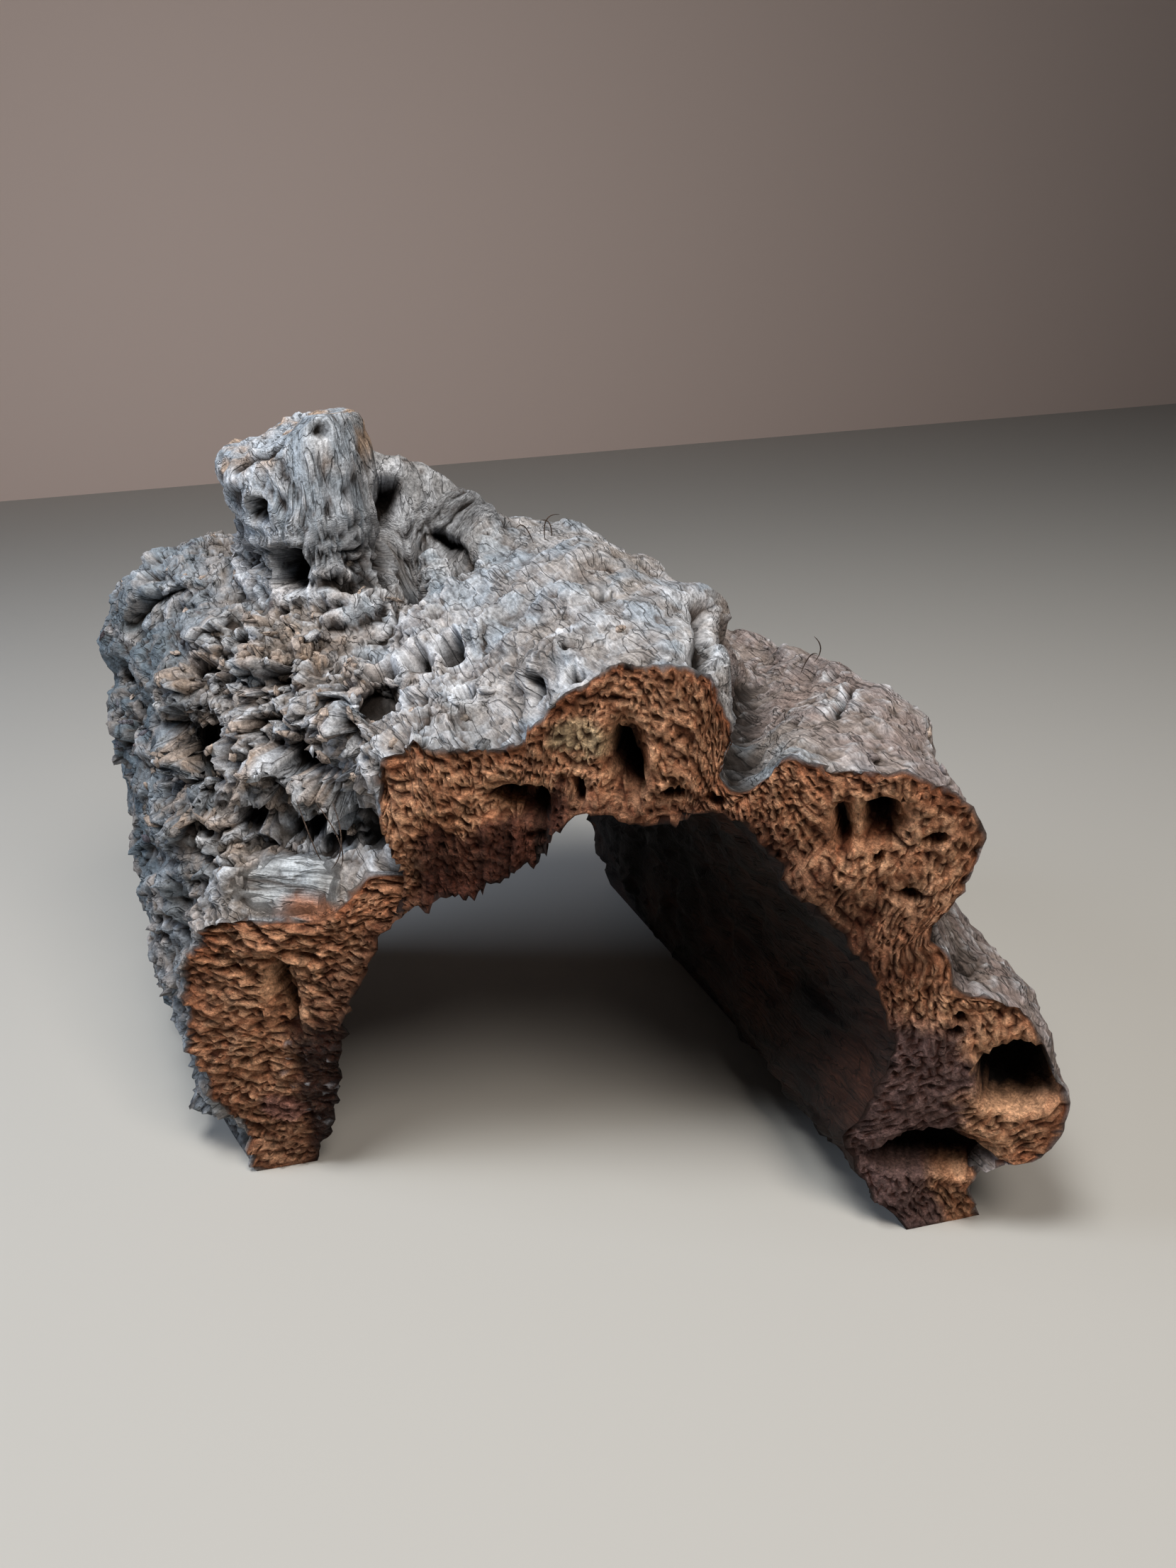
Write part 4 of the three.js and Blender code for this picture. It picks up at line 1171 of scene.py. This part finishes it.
# Triangles of closed tubes, all with the same count of points: rings from a first point on, and a pole at
# each end.
def tubeFaces(count, around, rows, first, poles, points):
    i = np.arange(around)
    j = (i + 1) % around
    last = first + (rows - 1) * around
    faces = [(0 * i + poles[0], first + i, first + j), (last + i, 0 * i + poles[1], last + j)]
    for row in range(rows - 1):
        top = first + row * around
        low = top + around
        faces += [(top + i, low + i, low + j), (top + i, low + j, top + j)]
    faces = np.concatenate([np.stack(corner, -1) for corner in faces])
    return (faces[None] + (np.arange(count) * points)[:, None, None]).reshape(-1, 3)


# The arrays of what stands on the skin: its grain is its own place, and it has the skin's material.
def looseParts(points, tints, faces):
    kinds = np.zeros(len(faces), int)
    return {"points": points, "tints": tints, "grain": points, "faces": faces, "kinds": kinds}


# Loose flakes and crumbs that stand out of the broken skin, too undercut to be part of its grid. Sizes in mm.
flakes = {
    "seed": 7, "count": 420, "around": 7, "rows": 3, "long": (3, 10), "wide": (2, 6), "thick": (1.4, 3.4),
    "lean": 0.55, "uneven": 0.3, "sunk": 0.1, "crumbs": 0.18, "shades": (0.75, 1.2), "above": 120, "over": 40,
}


# Each flake is a small uneven lens: rings of points round an axis, closed at two poles, all flakes at once.
def makeFlakes(settings, skin, normals, weight, tint):
    rng = np.random.default_rng(settings["seed"])
    count, around, rows = settings["count"], settings["around"], settings["rows"]
    weight = (weight ** 2).ravel()
    pick = rng.choice(weight.size, count, p=weight / weight.sum())
    place, n = skin.reshape(-1, 3)[pick], normals.reshape(-1, 3)[pick]
    size = np.stack([rng.uniform(*settings[side], count) for side in ("long", "wide", "thick")], -1)
    a = unit(np.cross(n, rng.normal(size=n.shape)))
    up = unit(n + settings["lean"] * rng.normal(size=n.shape))
    a = unit(a - up * (a * up).sum(-1, keepdims=True))
    b = np.cross(up, a)
    turn = np.arange(around) / around * 2 * np.pi
    polar = np.linspace(0, np.pi, rows + 2)[1:-1, None]
    ring = [np.sin(polar) * np.cos(turn), np.sin(polar) * np.sin(turn), np.cos(polar) * np.ones(around)]
    ball = np.concatenate([[[0, 0, 1]], np.stack(ring, -1).reshape(-1, 3), [[0, 0, -1]]])
    shape = ball[None] * (1 + settings["uneven"] * rng.normal(size=(count, len(ball), 1)).clip(-1.2, 1.2))
    shape = shape * size[:, None, :] / 2
    points = (place - n * settings["sunk"] * size[:, 2:])[:, None] + shape[..., :1] * a[:, None]
    points = (points + shape[..., 1:2] * b[:, None] + shape[..., 2:] * up[:, None]).reshape(-1, 3)
    faces = tubeFaces(count, around, rows, 1, (0, 1 + rows * around), len(ball))
    crumb = rng.uniform(0, 1, (count, 1)) < settings["crumbs"]
    grey = np.maximum(tint.reshape(-1, 3)[pick], tone["warm"] * 0.7)
    colour = np.where(crumb, mix(tone["crumb"], tone["silver"], 0.3), grey)
    colour = colour * rng.uniform(*settings["shades"], (count, 1))
    tints = np.repeat(np.concatenate([colour, np.ones((count, 1))], 1), len(ball), 0)
    return looseParts(points, tints, faces)


# Thin root hairs and bast fibres that stand off the skin: root, how far the tip is from it, and how far the
# middle bends.
hairs = {
    "radius": 0.32, "around": 6, "rows": 13,
    "paths": [
        ((56, 41, 282), (7, -3, 13), (-3, 0, 4)),
        ((61, 46, 282), (-5, 2, 9), (2, 0, 3)),
        ((50, 44, 283), (-8, 0, 6), (0, 0, 4)),
        ((168, -36, 226), (-2, 0, 12), (3, 0, 0)),
        ((146, -60, 231), (6, -3, 7), (0, 0, 3)),
        ((-88, -40, 196), (5, -13, -20), (0, -8, -2)),
        ((-80, -46, 197), (4, -12, -24), (3, -8, 0)),
        ((-74, -50, 196), (-6, -10, -22), (2, -7, 0)),
    ],
}


# Each hair is a closed tube round a bent line, root + tip * s + bend * 4 s (1 - s), that thins towards both
# ends.
def makeHairs(settings):
    around, rows = settings["around"], settings["rows"]
    root, tip, bend = (np.array(part, float)[:, None] for part in zip(*settings["paths"]))
    s = np.linspace(-0.12, 1, rows)[None, :, None]
    line = root + tip * s + bend * 4 * s * (1 - s)
    way = unit(np.gradient(line, axis=1))
    side = unit(np.cross(way, (0.31, 0.87, 0.2)))
    turn = np.arange(around) / around * 2 * np.pi
    ring = side[:, :, None] * np.cos(turn)[:, None] + np.cross(way, side)[:, :, None] * np.sin(turn)[:, None]
    taper = np.sqrt(np.clip(np.sin(np.linspace(0.02, 0.98, rows) * np.pi), 0.05, 1))
    tube = line[:, :, None] + ring * (settings["radius"] * taper)[:, None, None]
    whole = np.concatenate([tube.reshape(len(line), -1, 3), line[:, [0, -1]]], 1)
    poles = (around * rows, around * rows + 1)
    faces = tubeFaces(len(line), around, rows, 0, poles, whole.shape[1])[:, ::-1]
    points = whole.reshape(-1, 3)
    tints = np.concatenate([np.tile(tone["brown"], (len(points), 1)), np.zeros((len(points), 1))], 1)
    return looseParts(points, tints, faces)


def joined(a, b):
    whole = {name: np.concatenate([a[name], b[name]]) for name in ("points", "tints", "grain", "kinds")}
    whole["faces"] = np.concatenate([a["faces"], b["faces"] + len(a["points"])])
    return whole


# One value for each vertex, edge or face of a mesh, or several in a row.
def readArray(data, key, width=1, kind=float):
    values = np.empty(len(data) * width, kind)
    data.foreach_get(key, values)
    return values.reshape(-1, width) if width > 1 else values


# Makes an edge sharp where skin, cut and hollow meet, and round the soles, so that none of them is shaded
# round the corner. A face that lies on the floor counts as another kind.
def sharpBetweenKinds(mesh):
    edges = readArray(mesh.loops, "edge_index", kind=np.int32)
    kinds = readArray(mesh.polygons, "material_index", kind=np.int32)
    onFloor = readArray(mesh.polygons, "center", 3)[:, 2] < 1e-5
    kinds = np.repeat(kinds + 3 * onFloor, 3)
    low, high = np.full(len(mesh.edges), 9), np.zeros(len(mesh.edges), int)
    np.minimum.at(low, edges, kinds)
    np.maximum.at(high, edges, kinds)
    sharp = mesh.attributes.new("sharp_edge", "BOOLEAN", "EDGE")
    sharp.data.foreach_set("value", high > low)


# Puts points in mm from the block's zero into a mesh in metres, with a tint and a place along the grain at
# each.
def putMesh(name, parts, materials):
    mesh = bpy.data.meshes.new(name)
    points, faces = (parts["points"] - np.array(block["zero"])) / 1000, parts["faces"]
    mesh.vertices.add(len(points))
    mesh.vertices.foreach_set("co", points.ravel())
    mesh.loops.add(faces.size)
    mesh.loops.foreach_set("vertex_index", faces.ravel())
    mesh.polygons.add(len(faces))
    mesh.polygons.foreach_set("loop_start", np.arange(0, faces.size, 3))
    for material in materials:
        mesh.materials.append(material)
    mesh.polygons.foreach_set("material_index", parts["kinds"].astype(np.int32))
    tint = mesh.color_attributes.new("tint", "FLOAT_COLOR", "POINT")
    tint.data.foreach_set("color", np.clip(parts["tints"], 0, 1).ravel())
    grain = mesh.attributes.new("grain", "FLOAT_VECTOR", "POINT")
    grain.data.foreach_set("vector", (parts["grain"] / 1000).ravel())
    mesh.update(calc_edges=True)
    mesh.validate()
    mesh.shade_smooth()
    sharpBetweenKinds(mesh)
    return mesh


# The arrays of a finished mesh again, in mm from the block's zero.
def readMesh(mesh):
    return {
        "points": readArray(mesh.vertices, "co", 3) * 1000 + np.array(block["zero"]),
        "tints": readArray(mesh.attributes["tint"].data, "color", 4),
        "grain": readArray(mesh.attributes["grain"].data, "vector", 3) * 1000,
        "faces": readArray(mesh.loops, "vertex_index", kind=np.int32).reshape(-1, 3),
        "kinds": readArray(mesh.polygons, "material_index", kind=np.int32),
    }


# Thins a dense mesh to a number of triangles; flat places lose more points than folded ones.
def thinned(parts, triangles):
    dense = putMesh("dense", parts, [])
    holder = bpy.data.objects.new("dense", dense)
    scene.collection.objects.link(holder)
    thin = holder.modifiers.new("thin", "DECIMATE")
    thin.ratio = triangles / len(parts["faces"])
    graph = bpy.context.evaluated_depsgraph_get()
    light = bpy.data.meshes.new_from_object(holder.evaluated_get(graph))
    found = readMesh(light)
    found["points"][:, 2] = np.maximum(found["points"][:, 2], 0)
    bpy.data.objects.remove(holder)
    bpy.data.meshes.remove(dense)
    bpy.data.meshes.remove(light)
    return found


# Weathered virgin cork: dead grey outer bark, drawn out in fine fibres where it is calm and crumbly where it
# is broken, with dark pores and fissures and pale tips, painted shade and painted highlight that follow the
# bump. Sizes in metres.
skinFinish = {
    "fibre": (0.0016, 0.018), "crumb": 0.0030, "speck": 0.0016, "fissure": (0.0090, 0.045), "pore": 0.0105,
    "roughness": 0.88, "specular": 0.28, "bump": 0.0013,
}
# Inner bark: the dark dense side that lay on the wood, ridged along the trunk and dull.
innerFinish = {
    "fibre": (0.0014, 0.014), "crumb": 0.0050, "speck": 0.0030, "fissure": (0.007, 0.030), "pore": 0.012,
    "roughness": 0.82, "specular": 0.3, "bump": 0.0012,
}
# How both take their patterns: from a range of the pattern to a range of the shade, how wide the fissures and
# the pores' edges are, what specks and gaps add to the bump, and how far specks move the roughness.
barkShades = {
    "grain": (0.34, 0.66, 0.54, 1.46), "speck": (0.3, 0.7, 0.72, 1.26), "gaps": (0.0, 1.0, 0.42, 1.0),
    "fissure": 0.022, "pore": (0.04, 0.11), "speckRise": 0.5, "gapRise": 0.45, "duller": 0.12, "rougher": 0.1,
}
# Sawn cork: torn orange-brown scales a few millimetres long, with pale tips and dark gaps, a painted
# highlight and painted shade that follow the bump.
cutFinish = {
    "scale": (0.0017, 0.0032), "crumb": 0.0034, "speck": 0.0011, "roughness": 0.9, "specular": 0.22,
    "bump": 0.0017, "glossRoughness": 0.34, "drift": (2.2, 2.2, 2.2), "tip": (0.05, 0.8, 1.0, 0.0),
    "liftShare": 0.5, "speckShare": 0.7, "shade": (0.70, 1.30, 0.46, 1.74),
}


def cellNode(tree, places, size):
    return addNode(tree, "ShaderNodeTexVoronoi", values={"Scale": 1 / size}, links={"Vector": places})


# The helpers below give (node, output name), ready to be linked.
def noiseNode(tree, places, size, detail, roughness, distortion=0.0):
    values = {"Scale": 1 / size, "Detail": detail, "Roughness": roughness, "Distortion": distortion}
    return addNode(tree, "ShaderNodeTexNoise", values=values, links={"Vector": places}), "Fac"


# Inputs are numbers or (node, output name).
def mathNode(tree, operation, *inputs):
    linked = {i: given for i, given in enumerate(inputs) if isinstance(given, tuple)}
    plain = {i: given for i, given in enumerate(inputs) if i not in linked}
    return addNode(tree, "ShaderNodeMath", {"operation": operation}, plain, linked), "Value"


# Moves a value from one range to another and stops it at the ends.
def rangeNode(tree, source, start, end, low=0.0, high=1.0, kind="LINEAR"):
    values = {"From Min": start, "From Max": end, "To Min": low, "To Max": high}
    node = addNode(tree, "ShaderNodeMapRange", {"interpolation_type": kind}, values, {"Value": source})
    return node, "Result"


# Places along the grain, scaled so that one unit is the given size in metres across and along it.
def grainPlaces(tree, across, along):
    grain = addNode(tree, "ShaderNodeAttribute", {"attribute_name": "grain"})
    values = {"Scale": (1 / across, 1 / along, 1 / across)}
    return addNode(tree, "ShaderNodeMapping", values=values, links={"Vector": (grain, "Vector")}), "Vector"


# The tint times a shade, with a bump and a roughness.
def finishMaterial(tree, finish, tint, shade, height, roughness):
    colour = addNode(tree, "ShaderNodeVectorMath", {"operation": "SCALE"},
                     links={"Vector": (tint, "Color"), "Scale": shade})
    bump = addNode(tree, "ShaderNodeBump", values={"Strength": 1.0, "Distance": finish["bump"]},
                   links={"Height": height})
    links = {"Base Color": (colour, "Vector"), "Roughness": roughness, "Normal": (bump, "Normal")}
    values = {"Specular IOR Level": finish["specular"]}
    shader = addNode(tree, "ShaderNodeBsdfPrincipled", values=values, links=links)
    addNode(tree, "ShaderNodeOutputMaterial", links={"Surface": (shader, "BSDF")})


# Bark whose shade is the tint times fibres (or crumbs, by the tint's alpha), specks, fissures and pores; the
# same patterns raise the bump, so the colour is darker where the bump is low and lighter where it is high,
# painted shade and painted highlight, and the specks vary the roughness.
def barkMaterial(name, finish, shades):
    material, tree = newMaterial(name)
    place = (addNode(tree, "ShaderNodeTexCoord"), "Object")
    tint = addNode(tree, "ShaderNodeVertexColor", {"layer_name": "tint"})
    fibre = noiseNode(tree, grainPlaces(tree, *finish["fibre"]), 1.0, 4.0, 0.6, 0.5)
    crumb = noiseNode(tree, place, finish["crumb"], 6.0, 0.7, 0.8)
    mixed = {0: (tint, "Alpha"), 2: fibre, 3: crumb}
    grainy = (addNode(tree, "ShaderNodeMix", {"data_type": "FLOAT"}, links=mixed), "Result")
    speck = noiseNode(tree, place, finish["speck"], 3.0, 0.6)
    slow = noiseNode(tree, grainPlaces(tree, *finish["fissure"]), 1.0, 3.0, 0.5, 0.6)
    apart = mathNode(tree, "ABSOLUTE", mathNode(tree, "SUBTRACT", slow, 0.5))
    fissure = rangeNode(tree, apart, 0.0, shades["fissure"], kind="SMOOTHSTEP")
    spots = cellNode(tree, place, finish["pore"])
    pore = rangeNode(tree, (spots, "Distance"), *shades["pore"], kind="SMOOTHSTEP")
    gaps = mathNode(tree, "MULTIPLY", fissure, pore)
    shade = mathNode(tree, "MULTIPLY", rangeNode(tree, grainy, *shades["grain"]),
                     rangeNode(tree, speck, *shades["speck"]))
    shade = mathNode(tree, "MULTIPLY", shade, rangeNode(tree, gaps, *shades["gaps"]))
    raised = mathNode(tree, "MULTIPLY_ADD", speck, shades["speckRise"], grainy)
    raised = mathNode(tree, "MULTIPLY_ADD", gaps, shades["gapRise"], raised)
    smooth, rough = finish["roughness"] - shades["duller"], min(1.0, finish["roughness"] + shades["rougher"])
    finishMaterial(tree, finish, tint, shade, raised, rangeNode(tree, speck, 0.0, 1.0, smooth, rough))
    return material


# Torn scales: cells drawn along the layers, pale at their raised middles and dark between, a painted
# highlight and painted shade that follow the bump, over finer crumbs and specks. The tint's alpha makes the
# resinous edge glossy.
def scaleMaterial(name, finish):
    material, tree = newMaterial(name)
    place = (addNode(tree, "ShaderNodeTexCoord"), "Object")
    tint = addNode(tree, "ShaderNodeVertexColor", {"layer_name": "tint"})
    crumb = noiseNode(tree, place, finish["crumb"], 6.0, 0.72, 0.6)
    speck = noiseNode(tree, place, finish["speck"], 3.0, 0.65)
    drift = addNode(tree, "ShaderNodeVectorMath", {"operation": "MULTIPLY_ADD"}, {1: finish["drift"]},
                    {0: (crumb[0], "Color"), 2: grainPlaces(tree, *finish["scale"])})
    cells = cellNode(tree, (drift, "Vector"), 1.0)
    own = addNode(tree, "ShaderNodeSeparateColor", links={"Color": (cells, "Color")})
    lift = mathNode(tree, "MULTIPLY", rangeNode(tree, (cells, "Distance"), *finish["tip"]), (own, "Red"))
    height = mathNode(tree, "MULTIPLY_ADD", lift, finish["liftShare"], crumb)
    height = mathNode(tree, "MULTIPLY_ADD", speck, finish["speckShare"], height)
    shade = rangeNode(tree, height, *finish["shade"])
    dull = rangeNode(tree, (tint, "Alpha"), 0.0, 1.0, finish["roughness"], finish["glossRoughness"])
    finishMaterial(tree, finish, tint, shade, height, dull)
    return material


materials = [
    barkMaterial("weatheredCorkSkin", skinFinish, barkShades),
    scaleMaterial("sawnCork", cutFinish),
    barkMaterial("innerBark", innerFinish, barkShades),
]
dense, skin, skinTint = makeBark(block)
weight = brokenness(skin) * rising(skin[..., 2], flakes["above"], flakes["over"])
loose = joined(makeFlakes(flakes, skin, gridNormals(smoothed(skin, 20)), weight, skinTint), makeHairs(hairs))
loose["points"] = keptInside(loose["points"])
parts = joined(thinned(dense, block["triangles"] - len(loose["faces"])), loose)
bark = bpy.data.objects.new("barkPiece", putMesh("barkPiece", parts, materials))
scene.collection.objects.link(bark)
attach(bark, "root")
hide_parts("bark")
print("bark finished with", len(bark.data.polygons), "triangles")
